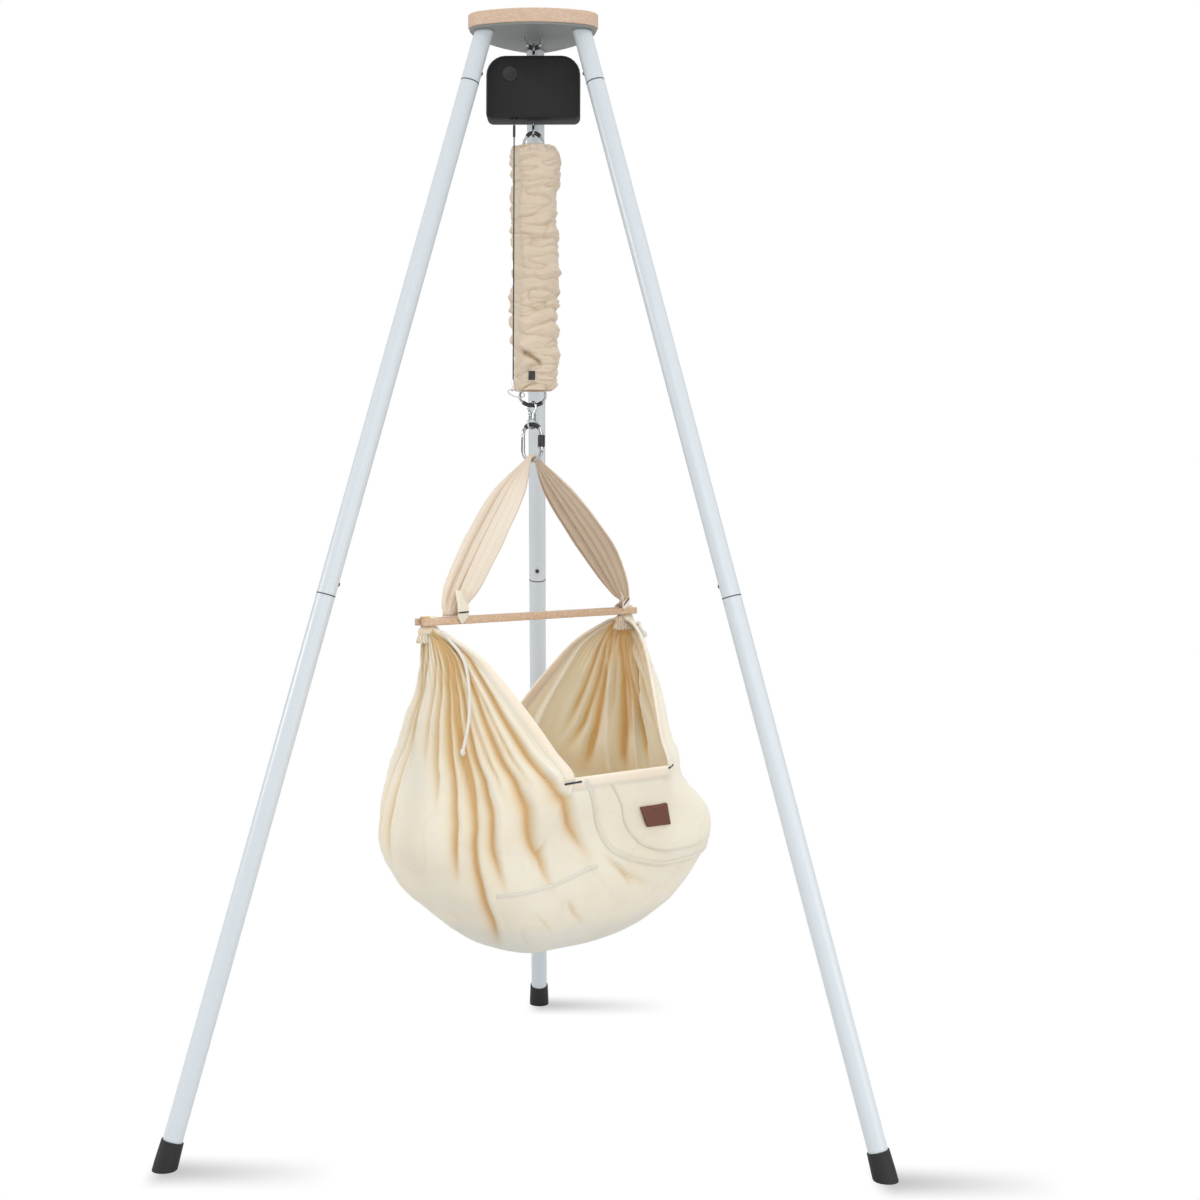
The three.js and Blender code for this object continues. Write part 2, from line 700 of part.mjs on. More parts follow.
function cordDrum() {
  const middle = -motor.cordY;
  const bore = drum.shaftRadius + JOINT_CLEARANCE / 3;
  const [near, far] = [middle - drum.grooveHalf, middle + drum.grooveHalf];
  const outline = [
    [bore, near - drum.flangeThickness], [drum.flange, near - drum.flangeThickness],
    [drum.flange, near], [drum.core, near], [drum.core, far], [drum.flange, far],
    [drum.flange, far + drum.flangeThickness], [bore, far + drum.flangeThickness],
  ];
  return alongY(revolve(outline, 18), drumX, drum.height);
}

function mainsInlet() {
  const face = -(motorHalf + JOINT_CLEARANCE);
  const seat = -(motorHalf - motor.wall - JOINT_CLEARANCE);
  const outline = [
    [0, face + inlet.boreDepth], [inlet.bore, face + inlet.boreDepth], [inlet.bore, face],
    [inlet.radius, face], [inlet.radius, seat], [inlet.flange, seat],
    [inlet.flange, seat + inlet.flangeThickness], [inlet.radius, seat + inlet.flangeThickness],
    [inlet.radius, face + inlet.length], [0, face + inlet.length],
  ];
  return alongY(revolve(outline, 16), inlet.x, inlet.height);
}

function buildMotor(parent) {
  const unit = new THREE.Group();
  unit.position.z = motorBottom;
  parent.add(unit);
  const [front, back] = motorShells();
  piece(unit, 'motor_front_cover', geometryOf(front), motorPlastic());
  piece(unit, 'motor_back_cover', geometryOf(back), motorPlastic());
  piece(unit, 'motor_button', motorButton(), blackPlastic());
  piece(unit, 'motor_chassis', geometryOf(motorChassis()), springSteel());
  piece(unit, 'gear_motor', gearMotor(), springSteel());
  piece(unit, 'cord_drum', cordDrum(), blackPlastic());
  piece(unit, 'circuit_board', geometryOf(circuitBoard()), boardGreen());
  piece(unit, 'mains_inlet', mainsInlet(), blackPlastic());
  const shank = eye.shankShow + motor.wall + chassis.thickness + 2 * JOINT_CLEARANCE
    + eye.nutHeight;
  const topEye = piece(parent, 'motor_top_eye', eyeBolt(shank), chrome());
  topEye.position.z = topEyeCentre;
  const lowEye = piece(parent, 'motor_lower_eye', eyeBolt(shank), chrome());
  lowEye.position.z = lowerEyeCentre;
  lowEye.rotation.x = HALF_TURN;
}

// Tension spring: one wire with an upper hook, a close coil and a lower hook
const hooks = {
  upperHeight: 45,                // coil end to the top of the upper hook
  lowerHeight: 30,
  lowerHalfWidth: 26,
  lowerYaw: THREE.MathUtils.degToRad(20),
  lead: 13,                       // straight rise between the coil and a hook's bow
  sleeveRadius: 4,
  endGap: 4,                      // hook's free end above the coil
  upperSleeveSpread: THREE.MathUtils.degToRad(38),
};
const STEPS_PER_TURN = 8;
const WIRE_SIDES = 5;
const hookTop = lowerEyeCentre - eyeInner + JOINT_CLEARANCE + hooks.sleeveRadius;
const coilTop = hookTop - hooks.upperHeight;
const coilBottom = coilTop - SPRING_LENGTH;
const hookBottom = coilBottom - hooks.lowerHeight;

// A hook's bow: half an ellipse across the spring's end, sign +1 up or -1 down
function hookPoint(turn, end, height, halfWidth, yaw, sign) {
  const across = halfWidth * Math.cos(turn);
  const rise = hooks.lead + (height - hooks.lead) * Math.sin(turn);
  return vec(across * Math.cos(yaw), across * Math.sin(yaw), end + sign * rise);
}

function hookRun(end, height, halfWidth, yaw, sign, steps) {
  const points = [];
  const early = THREE.MathUtils.degToRad(18);
  const lift = (share) => {
    const wide = THREE.MathUtils.lerp(SPRING_RADIUS, halfWidth, share);
    const turn = yaw + sign * early * (1 - share) * share * 2;
    return vec(wide * Math.cos(turn), wide * Math.sin(turn), end + sign * hooks.lead * share);
  };
  points.push(lift(1 / 3), lift(2 / 3));
  for (let i = 0; i <= steps; i += 1) {
    points.push(hookPoint((HALF_TURN * i) / steps, end, height, halfWidth, yaw, sign));
  }
  const last = hookPoint(HALF_TURN, end, height, halfWidth, yaw, sign);
  last.z = end + sign * hooks.endGap;
  points.push(last);
  return points;
}

function springPoints() {
  const start = hooks.lowerYaw + HALF_TURN;
  const sweep = SPRING_TURNS * FULL_TURN + (FULL_TURN - start);
  const steps = Math.round((sweep / FULL_TURN) * STEPS_PER_TURN);
  const coil = [];
  for (let i = 0; i <= steps; i += 1) {
    const turn = start + (sweep * i) / steps;
    const height = coilBottom + (SPRING_LENGTH * i) / steps;
    coil.push(vec(SPRING_RADIUS * Math.cos(turn), SPRING_RADIUS * Math.sin(turn), height));
  }
  const hookSteps = 12;
  const lower = hookRun(coilBottom, hooks.lowerHeight, hooks.lowerHalfWidth,
    start, -1, hookSteps).reverse();
  const upper = hookRun(coilTop, hooks.upperHeight, SPRING_RADIUS, 0, 1, hookSteps);
  return [...lower, ...coil, ...upper];
}

// Least space between stretches of one wire that are not next to each other
function leastGap(points, diameter) {
  const along = [0];
  for (let i = 1; i < points.length; i += 1) {
    along.push(along[i - 1] + points[i].distanceTo(points[i - 1]));
  }
  let least = Infinity;
  for (let i = 0; i < points.length; i += 1) {
    for (let j = i + 1; j < points.length; j += 1) {
      if (along[j] - along[i] > 3 * diameter) {
        least = Math.min(least, points[i].distanceTo(points[j]) - diameter);
      }
    }
  }
  return least;
}

// Loops of points joined into one closed skin, as a ring or with an end fan each
function skin(loops, ring, capStart, capEnd) {
  const count = loops[0].length;
  const positions = loops.flat().flatMap((p) => [p.x, p.y, p.z]);
  const faces = [];
  const pairs = ring ? loops.length : loops.length - 1;
  for (let row = 0; row < pairs; row += 1) {
    const a = row * count;
    const b = ((row + 1) % loops.length) * count;
    for (let i = 0; i < count; i += 1) {
      const j = (i + 1) % count;
      faces.push(a + i, a + j, b + j, a + i, b + j, b + i);
    }
  }
  const fan = (row, tip, flip) => {
    const middle = positions.length / 3;
    positions.push(tip.x, tip.y, tip.z);
    for (let i = 0; i < count; i += 1) {
      const j = (i + 1) % count;
      const edge = [row * count + i, row * count + j];
      faces.push(middle, ...(flip ? edge.reverse() : edge));
    }
  };
  if (!ring) {
    fan(0, capStart, true);
    fan(loops.length - 1, capEnd, false);
  }
  const geometry = new THREE.BufferGeometry();
  geometry.setAttribute('position', new THREE.Float32BufferAttribute(positions, 3));
  geometry.setIndex(faces);
  return closed(geometry);
}

// Round tube along a chain of points, its section carried on without twist
function sweep(points, radius, sides) {
  const loops = [];
  const side = vec(0, 0, 1);
  points.forEach((point, i) => {
    const before = points[Math.max(i - 1, 0)];
    const after = points[Math.min(i + 1, points.length - 1)];
    const ahead = after.clone().sub(before).normalize();
    if (i === 0 && Math.abs(ahead.z) > Math.SQRT1_2) side.set(1, 0, 0);
    side.addScaledVector(ahead, -side.dot(ahead)).normalize();
    const up = ahead.clone().cross(side);
    loops.push(circle(radius, sides).getPoints().slice(0, sides).map((p) => point.clone()
      .addScaledVector(side, p.x).addScaledVector(up, p.y)));
  });
  return skin(loops, false, points[0], points[points.length - 1]);
}

const cover = {
  radius: 46,
  bore: 29.5,
  hem: 10,                        // elastic mouth that grips the coil's upper end
  setBack: 8,                     // the cover hangs behind the drive cord
  top: 17,                        // ruffled mouth above the coil's end
  bottom: 2,                      // drawn-in mouth below the coil's end
  mouth: 37.5,                    // outer radius at the drawn-in mouth
  ruffle: 2.4,
  ruffles: 15,
  sway: 1.2,
  neck: 60,                       // height over which the lower end narrows
};
const COVER_SIDES = 14;

// Gathered cloth sleeve: rings of ruffles that lean a little as they go round
function coverLoop(height) {
  const low = coilBottom - cover.bottom;
  const share = (height - low) / (coilTop + cover.top - low);
  const narrowing = THREE.MathUtils.smoothstep(height - low, 0, cover.neck);
  const plain = THREE.MathUtils.lerp(cover.mouth, cover.radius, narrowing);
  const shift = cover.setBack * narrowing;
  const loop = [];
  for (let i = 0; i < COVER_SIDES; i += 1) {
    const turn = (FULL_TURN * i) / COVER_SIDES;
    const lean = Math.sin(turn + share * FULL_TURN) * cover.sway;
    const wave = Math.sin(share * cover.ruffles * FULL_TURN + 2 * Math.sin(turn));
    const radius = plain + cover.ruffle * wave + lean;
    loop.push(vec(radius * Math.cos(turn), radius * Math.sin(turn) + shift, height));
  }
  return loop;
}

function coverRings() {
  const low = coilBottom - cover.bottom;
  const high = coilTop + cover.top;
  const rows = 2 * cover.ruffles;
  const loops = [];
  for (let i = 0; i <= rows; i += 1) {
    loops.push(coverLoop(low + ((high - low) * i) / rows));
  }
  return loops;
}

function springCover() {
  const low = coilBottom - cover.bottom;
  const high = coilTop + cover.top;
  const loops = coverRings();
  const bore = (radius, z) => circle(radius, COVER_SIDES).getPoints().slice(0, COVER_SIDES)
    .map((p) => vec(p.x, p.y, z));
  const grip = SPRING_RADIUS + SPRING_WIRE / 2 + 2 * JOINT_CLEARANCE;
  loops.push(bore(grip, high), bore(grip, coilTop - cover.hem));
  loops.push(bore(cover.bore, coilTop - 2 * cover.hem), bore(cover.bore, low));
  return skin(loops, true);
}

const stopper = { radius: 6.5, length: 17, rise: 27 };

function buildSpring(parent) {
  const points = springPoints();
  console.log(`spring: least gap to itself ${leastGap(points, SPRING_WIRE).toFixed(2)} mm`);
  piece(parent, 'tension_spring', sweep(points, SPRING_WIRE / 2, WIRE_SIDES), springSteel());
  piece(parent, 'spring_cover', springCover(), creamCloth());

  const spread = hooks.upperSleeveSpread;
  const upper = [];
  const sleeveSteps = 6;
  for (let i = 0; i <= sleeveSteps; i += 1) {
    const turn = QUARTER_TURN + spread * (1 - (2 * i) / sleeveSteps);
    upper.push(hookPoint(turn, coilTop, hooks.upperHeight, SPRING_RADIUS, 0, 1));
  }
  const bore = SPRING_WIRE / 2 + JOINT_CLEARANCE;
  piece(parent, 'upper_hook_sleeve', hose(upper, hooks.sleeveRadius, bore, 9, 6), blackPlastic());

  const barrel = rod(stopper.radius, -stopper.length / 2, stopper.length / 2, 12);
  const lock = piece(parent, 'cord_stopper', barrel, blackPlastic());
  const lockHeight = coilBottom - cover.bottom + stopper.rise;
  const near = coverRings().flat().filter((p) => Math.abs(p.z - lockHeight) < stopper.length);
  const front = Math.min(...near.map((p) => p.y));
  lock.position.set(0, front - stopper.radius, lockHeight);
}

// Drive cord: wound on the drum, straight down to a small hook and a ring in the spring
const crimp = {
  ferruleRadius: 2.5,             // long crimp below the motor
  ferruleLength: 22,
  drop: 12,                       // below the motor's shell
  hookWire: 1,
  hookCurl: 3.6,
  hookShank: 10,
  socketRadius: 2.2,
  socketLength: 8,
  ringWire: 0.8,
};
const cordEnd = coilBottom + crimp.hookShank;
const drumHeight = motorBottom + drum.height;

function ringArm() {
  const arm = hookPoint(0, coilBottom, hooks.lowerHeight, hooks.lowerHalfWidth,
    hooks.lowerYaw + HALF_TURN, -1);
  const reach = vec(arm.x - motor.cordX, arm.y - motor.cordY, 0).normalize();
  return { arm, reach };
}

function driveCord() {
  const wrap = drum.core + cord.radius + JOINT_CLEARANCE;
  const points = [];
  const wrapSteps = 12;
  const wrapTurn = 0.75 * FULL_TURN;
  for (let i = 0; i <= wrapSteps; i += 1) {
    const turn = wrapTurn * (1 - i / wrapSteps);
    points.push(vec(drumX + wrap * Math.cos(turn), motor.cordY, drumHeight + wrap * Math.sin(turn)));
  }
  const drop = motorBottom - crimp.drop;
  points.push(vec(motor.cordX, motor.cordY, motorBottom));
  points.push(vec(motor.cordX, motor.cordY, drop));
  points.push(vec(motor.cordX, motor.cordY, (drop + cordEnd) / 2));
  points.push(vec(motor.cordX, motor.cordY, cordEnd + JOINT_CLEARANCE));
  const ferrule = rod(crimp.ferruleRadius, drop - crimp.ferruleLength, drop, 8);
  ferrule.translate(motor.cordX, motor.cordY, 0);
  return geometryOf(joined(solid(sweep(points, cord.radius, 8)), solid(ferrule)));
}

// Small wire hook with the socket that grips the cord's end
function cordHook(reach) {
  const at = (along, height) => vec(motor.cordX + reach.x * along,
    motor.cordY + reach.y * along, height);
  const points = [at(0, cordEnd), at(0, (cordEnd + coilBottom) / 2)];
  const curlSteps = 8;
  for (let i = 0; i <= curlSteps; i += 1) {
    const turn = (HALF_TURN * i) / curlSteps;
    points.push(at(-crimp.hookCurl * (1 - Math.cos(turn)), coilBottom
      - crimp.hookCurl * Math.sin(turn)));
  }
  points.push(at(-2 * crimp.hookCurl, coilBottom + crimp.hookCurl / 2));
  const bore = cord.radius + JOINT_CLEARANCE;
  const [low, high] = [cordEnd - crimp.socketRadius, cordEnd + crimp.socketLength];
  const socket = revolve([
    [0, low], [crimp.socketRadius, low], [crimp.socketRadius, high], [bore, high],
    [bore, cordEnd], [0, cordEnd],
  ], 8).translate(motor.cordX, motor.cordY, 0);
  return geometryOf(joined(solid(socket), solid(sweep(points.slice(1), crimp.hookWire, 6)),
    solid(rod(crimp.hookWire, (cordEnd + coilBottom) / 2 - crimp.hookWire, cordEnd, 6)
      .translate(motor.cordX, motor.cordY, 0))));
}

// Thin ring through the small hook and round the spring's lower hook
function cordRing(arm, reach) {
  const near = vec(motor.cordX - reach.x * crimp.hookCurl, motor.cordY - reach.y * crimp.hookCurl,
    coilBottom - crimp.hookCurl + crimp.hookWire + crimp.ringWire + 2 * JOINT_CLEARANCE);
  const along = arm.clone().sub(near).normalize();
  const past = SPRING_WIRE / 2 + crimp.ringWire + 2 * JOINT_CLEARANCE;
  const far = arm.clone().addScaledVector(along, past);
  const across = vec(-reach.y, reach.x, 0);
  const radius = near.distanceTo(far) / 2;
  const ring = new THREE.TorusGeometry(radius, crimp.ringWire, 6, 18);
  const frame = new THREE.Matrix4().makeBasis(along, across, along.clone().cross(across));
  frame.setPosition(near.clone().add(far).multiplyScalar(1 / 2));
  return closed(ring.applyMatrix4(frame));
}

function lowerSleeve() {
  const points = [];
  const steps = 6;
  const spread = THREE.MathUtils.degToRad(48);
  for (let i = 0; i <= steps; i += 1) {
    const turn = QUARTER_TURN + spread * ((2 * i) / steps - 1);
    points.push(hookPoint(turn, coilBottom, hooks.lowerHeight, hooks.lowerHalfWidth,
      hooks.lowerYaw + HALF_TURN, -1));
  }
  return hose(points, hooks.sleeveRadius, SPRING_WIRE / 2 + JOINT_CLEARANCE, 9, 6);
}

function buildDrive(parent) {
  const { arm, reach } = ringArm();
  piece(parent, 'drive_cord', driveCord(), blackRubber());
  piece(parent, 'cord_hook', cordHook(reach), chrome());
  piece(parent, 'cord_ring', cordRing(arm, reach), chrome());
  piece(parent, 'lower_hook_sleeve', lowerSleeve(), blackPlastic());
}

// Swivel: an eye with a barrel over a second eye whose headed pin turns in the barrel
const swivel = {
  wire: 2.25,
  upperYaw: THREE.MathUtils.degToRad(-38),
  upperHalfWidth: 9.75,
  upperHalfHeight: 11.3,
  rest: 0.8,                      // slack in each link
  barrelRadius: 6.5,
  barrelLength: 11,
  capThickness: 2.2,
  pinRadius: 2.9,
  pinHeadRadius: 4.6,
  pinHead: 2.6,
  lowerYaw: THREE.MathUtils.degToRad(40),
  lowerHalfWidth: 11.25,
  lowerHalfHeight: 10,
};
const swivelTop = hookBottom + hooks.sleeveRadius + swivel.rest + swivel.wire;
const upperEyeMiddle = swivelTop - swivel.upperHalfHeight;
const barrelTop = upperEyeMiddle - swivel.upperHalfHeight + swivel.wire / 2;
const barrelLow = barrelTop - swivel.barrelLength;
const lowerEyeMiddle = barrelLow - swivel.lowerHalfHeight + swivel.wire / 2 - JOINT_CLEARANCE;

function ovalRing(height, yaw, halfWidth, halfHeight, radius, sides, steps) {
  const across = vec(Math.cos(yaw), Math.sin(yaw), 0);
  const normal = vec(-Math.sin(yaw), Math.cos(yaw), 0);
  const loops = [];
  for (let i = 0; i < steps; i += 1) {
    const turn = (FULL_TURN * i) / steps;
    const [c, s] = [Math.cos(turn), Math.sin(turn)];
    const middle = across.clone().multiplyScalar(halfWidth * c);
    middle.z = height + halfHeight * s;
    const out = across.clone().multiplyScalar(halfHeight * c);
    out.z = halfWidth * s;
    out.normalize();
    loops.push(circle(radius, sides).getPoints().slice(0, sides).map((p) => middle.clone()
      .addScaledVector(out, p.x).addScaledVector(normal, p.y)));
  }
  return skin(loops, true);
}

function buildSwivel(parent, lowerParent) {
  const upper = ovalRing(upperEyeMiddle, swivel.upperYaw, swivel.upperHalfWidth,
    swivel.upperHalfHeight, swivel.wire, 7, 14);
  const hole = swivel.pinRadius + JOINT_CLEARANCE;
  const cavity = swivel.pinHeadRadius + JOINT_CLEARANCE;
  const floor = barrelLow + swivel.capThickness;
  const roof = floor + swivel.pinHead + 2 * JOINT_CLEARANCE;
  const barrel = revolve([
    [0, roof], [cavity, roof], [cavity, floor], [hole, floor], [hole, barrelLow],
    [swivel.barrelRadius, barrelLow], [swivel.barrelRadius, barrelTop], [0, barrelTop],
  ], 12);
  const reach = swivel.upperHalfWidth;
  const room = solid(rod(swivel.barrelRadius, barrelLow - reach, roof, 16));
  const eyeRing = cutBy(solid(upper), room);
  piece(parent, 'swivel_upper_eye', geometryOf(joined(solid(barrel), eyeRing)), chrome());

  const lower = ovalRing(lowerEyeMiddle, swivel.lowerYaw, swivel.lowerHalfWidth,
    swivel.lowerHalfHeight, swivel.wire, 7, 14);
  const headLow = floor + JOINT_CLEARANCE;
  const pinLow = lowerEyeMiddle + swivel.lowerHalfHeight - swivel.wire / 2;
  const pin = revolve([
    [0, pinLow], [swivel.pinRadius, pinLow], [swivel.pinRadius, headLow],
    [swivel.pinHeadRadius, headLow], [swivel.pinHeadRadius, headLow + swivel.pinHead],
    [0, headLow + swivel.pinHead],
  ], 12);
  const trim = solid(rod(swivel.barrelRadius + swivel.wire, barrelLow - JOINT_CLEARANCE,
    barrelLow + reach, 16));
  const ring = cutBy(solid(lower), trim);
  piece(lowerParent, 'swivel_lower_eye', geometryOf(joined(ring, solid(pin))), chrome());
}

// Carabiner in its own frame: X along its width, its lower bow's middle at z = 0
const carabiner = {
  yaw: THREE.MathUtils.degToRad(-13.3),
  sleeveRadius: 4.75,
  sleeveSpread: THREE.MathUtils.degToRad(48),
  hingeRise: 20.5,                // gate's pin above the lower bow
  tongue: 2.4,
  tongueRadius: 3.2,
  pinRadius: 1.2,
  collarRadius: 5.3,
  collarRise: 24,
  collarThickness: 2.2,
  lockBore: 4.6,
  lockRadius: 6.8,
  lockShort: 1.5,                 // sleeve ends below the gate's top, clear of the nose
  lockTravel: 5,
};
const carabinerHalf = (CARABINER_WIDTH - CARABINER_WIRE) / 2;
const carabinerSpan = CARABINER_HEIGHT - CARABINER_WIRE;
const carabinerWire = CARABINER_WIRE / 2;
const carabinerTop = lowerEyeMiddle - swivel.lowerHalfHeight + swivel.wire + swivel.rest
  + carabiner.sleeveRadius;
const carabinerLow = carabinerTop - carabinerSpan;
const noseHeight = carabinerSpan - carabinerHalf;
const gateTop = noseHeight - JOINT_CLEARANCE;

function bow(turn, top) {
  const middle = top ? noseHeight : carabinerHalf;
  return vec(carabinerHalf * Math.cos(turn), 0, middle + carabinerHalf * Math.sin(turn));
}

function carabinerBody() {
  const seat = carabiner.hingeRise - carabinerWire - JOINT_CLEARANCE;
  const points = [vec(carabinerHalf, 0, noseHeight - carabinerWire),
    vec(carabinerHalf, 0, noseHeight)];
  const steps = 7;
  for (let i = 1; i <= steps; i += 1) points.push(bow((HALF_TURN * i) / steps, true));
  for (let i = 0; i < steps; i += 1) {
    points.push(bow(HALF_TURN + ((HALF_TURN - QUARTER_TURN / steps) * i) / steps, false));
  }
  const low = bow(-(carabinerHalf - seat) / carabinerHalf, false);
  points.push(low, vec(carabinerHalf, 0, seat), vec(carabinerHalf, 0, seat + carabinerWire));
  const opening = block(carabinerHalf - CARABINER_WIRE, carabinerHalf + CARABINER_WIRE,
    -CARABINER_WIRE, CARABINER_WIRE, seat, noseHeight);
  const body = cutBy(solid(sweep(points, carabinerWire, 9)), solid(opening));
  const half = carabiner.tongue / 2;
  const disc = rod(carabiner.tongueRadius, -half, half, 16).rotateX(QUARTER_TURN);
  const stem = block(-carabiner.tongueRadius, carabiner.tongueRadius, -half, half,
    -carabinerWire - carabiner.tongueRadius, 0);
  const eyeHole = rod(carabiner.pinRadius + JOINT_CLEARANCE, -half - CUT_OVERRUN,
    half + CUT_OVERRUN, 12).rotateX(QUARTER_TURN);
  const tongue = cutBy(joined(solid(disc), solid(stem)), solid(eyeHole))
    .translate([carabinerHalf, 0, carabiner.hingeRise]);
  return geometryOf(joined(body, tongue));
}

function carabinerGate() {
  const hinge = carabiner.hingeRise;
  const collar = carabiner.collarRise;
  const outline = [[0, hinge - carabinerWire]];
  const roundSteps = 4;
  for (let i = 1; i <= roundSteps; i += 1) {
    const turn = (QUARTER_TURN * i) / roundSteps;
    outline.push([carabinerWire * Math.sin(turn), hinge - carabinerWire * Math.cos(turn)]);
  }
  outline.push([carabinerWire, collar], [carabiner.collarRadius, collar],
    [carabiner.collarRadius, collar + carabiner.collarThickness],
    [carabinerWire, collar + carabiner.collarThickness], [carabinerWire, gateTop], [0, gateTop]);
  const half = carabiner.tongue / 2 + JOINT_CLEARANCE;
  const slotTop = hinge + carabiner.tongueRadius + JOINT_CLEARANCE;
  const slot = block(-CARABINER_WIRE, CARABINER_WIRE, -half, half, 0, slotTop);
  const pin = rod(carabiner.pinRadius, -carabinerWire + JOINT_CLEARANCE,
    carabinerWire - JOINT_CLEARANCE, 12).rotateX(QUARTER_TURN).translate(0, 0, hinge);
  const gate = joined(cutBy(solid(revolve(outline, 16)), solid(slot)), solid(pin));
  return geometryOf(gate.translate([carabinerHalf, 0, 0]));
}

function buildCarabiner(parent) {
  const frame = new THREE.Group();
  frame.position.z = carabinerLow;
  frame.rotation.z = carabiner.yaw;
  parent.add(frame);
  piece(frame, 'carabiner_body', carabinerBody(), chrome());
  piece(frame, 'carabiner_gate', carabinerGate(), chrome());
  const lockLow = carabiner.collarRise + carabiner.collarThickness + JOINT_CLEARANCE;
  const lockHigh = gateTop - carabiner.lockShort;
  const lock = revolve([
    [carabiner.lockBore, lockLow], [carabiner.lockRadius, lockLow],
    [carabiner.lockRadius, lockHigh], [carabiner.lockBore, lockHigh],
  ], 20);
  piece(frame, 'carabiner_lock_sleeve', lock.translate(carabinerHalf, 0, 0), chrome());
  const points = [];
  const steps = 8;
  for (let i = 0; i <= steps; i += 1) {
    points.push(bow(QUARTER_TURN + carabiner.sleeveSpread * ((2 * i) / steps - 1), true));
  }
  const sleeve = hose(points, carabiner.sleeveRadius, carabinerWire + 1.5 * JOINT_CLEARANCE, 10, 7);
  piece(frame, 'carabiner_sleeve', sleeve, blackPlastic());
}

// Hammock frame: X along the bar, -Y towards its near side, z = 0 at the bar's middle
const bar = {
  slotWidth: 11,
  slotLength: 45,
  corner: 4,
  edge: 1,
};
const barMiddle = carabinerLow - STRAP_DROP;
const neckX = BAR_LENGTH / 2 - 19;              // middle of the bunched cloth in a slot
const neckHalf = bar.slotWidth / 2 - JOINT_CLEARANCE;

function hangingBar() {
  const [x, y] = [BAR_LENGTH / 2, BAR_WIDTH / 2];
  const [slot, root] = [bar.slotWidth / 2, BAR_LENGTH / 2 - bar.slotLength];
  const c = bar.corner;
  const corner = (sx, sy, turned) => {
    const points = [[x, y - c], [x - c / 3, y - c / 3], [x - c, y]];
    const ordered = turned ? points.reverse() : points;
    return ordered.map(([px, py]) => new THREE.Vector2(sx * px, sy * py));
  };
  const shape = new THREE.Shape([
    ...corner(1, 1, false), ...corner(-1, 1, true),
    new THREE.Vector2(-x, slot), new THREE.Vector2(-root, slot),
    new THREE.Vector2(-root, -slot), new THREE.Vector2(-x, -slot),
    ...corner(-1, -1, false), ...corner(1, -1, true),
    new THREE.Vector2(x, -slot), new THREE.Vector2(root, -slot),
    new THREE.Vector2(root, slot), new THREE.Vector2(x, slot),
  ]);
  const options = {
    depth: BAR_THICKNESS - 2 * bar.edge, bevelThickness: bar.edge, bevelSize: bar.edge,
    bevelOffset: -bar.edge, bevelSegments: 1,
  };
  const board = new THREE.ExtrudeGeometry(shape, options);
  return closed(board.translate(0, 0, bar.edge - BAR_THICKNESS / 2));
}

// Strap: one pleated band from slot to slot over the carabiner's lower bow
const strap = {
  lean: THREE.MathUtils.degToRad(39.7), // how far the cloth's face leans back
  bendRoom: 1,                    // sideways, where it bends over the carabiner
  spreadPower: 0.94,              // how its middle runs out to the bar's slot
  twistPower: 5,                  // how late it turns edge-on for the slot
  roundShare: 0.96,               // how far the bunched strap rounds off at its edges
  apexHalf: 5.5,
  apexThickness: 9,
  midHalf: 50,
  endAlong: 17,                   // bunched end, half its length along the bar
  endHalf: 4.6,
  cloth: 3,
  pleat: 5,                       // height of the pleats where the band is widest
};
const STRAP_STATIONS = 9;

// Stations down one half of the band: place along it, widths and pleat height
function strapStations() {
  const over = carabinerWire + 3 * JOINT_CLEARANCE + strap.apexThickness / 2;
  const endHeight = BAR_THICKNESS / 2 + 2 * CLOTH;
  const list = [];
  const leave = THREE.MathUtils.degToRad(48);
  const bends = 3;
  for (let i = 0; i <= bends; i += 1) {
    const turn = (leave * i) / bends;
    const z = STRAP_DROP + over * Math.cos(turn);
    list.push({ x: (over + strap.bendRoom) * Math.sin(turn), z, half: strap.apexHalf,
      thickness: strap.apexThickness, pleat: 0, twist: 0 });
  }
  const start = list[bends];
  const spread = [
    [0.035, 0.02, 0], [0.09, 0.24, 0.1], [0.2, 0.6, 0.5], [0.35, 0.9, 0.9], [0.52, 1, 1], [0.68, 0.86, 1],
    [0.82, 0.6, 0.9], [0.93, 0.4, 0.5],
  ];
  for (const [share, widthShare, pleatShare] of spread) {
    const half = THREE.MathUtils.lerp(strap.apexHalf, strap.midHalf, widthShare);
    const z = THREE.MathUtils.lerp(start.z, endHeight, share);
    const x = THREE.MathUtils.lerp(start.x, neckX, share ** strap.spreadPower);
    const thickness = THREE.MathUtils.lerp(strap.apexThickness, strap.cloth, pleatShare);
    list.push({ x, z, half, thickness, pleat: strap.pleat * pleatShare, twist: share ** strap.twistPower });
  }
  const half = strap.endAlong;
  const thickness = 2 * strap.endHalf;
  list.push({ x: neckX, z: endHeight, half, thickness, pleat: 0, twist: 1 });
  const low = BAR_THICKNESS / 2 + CLOTH;
  list.push({ x: neckX, z: low, half, thickness, pleat: 0, twist: 1 });
  return list;
}

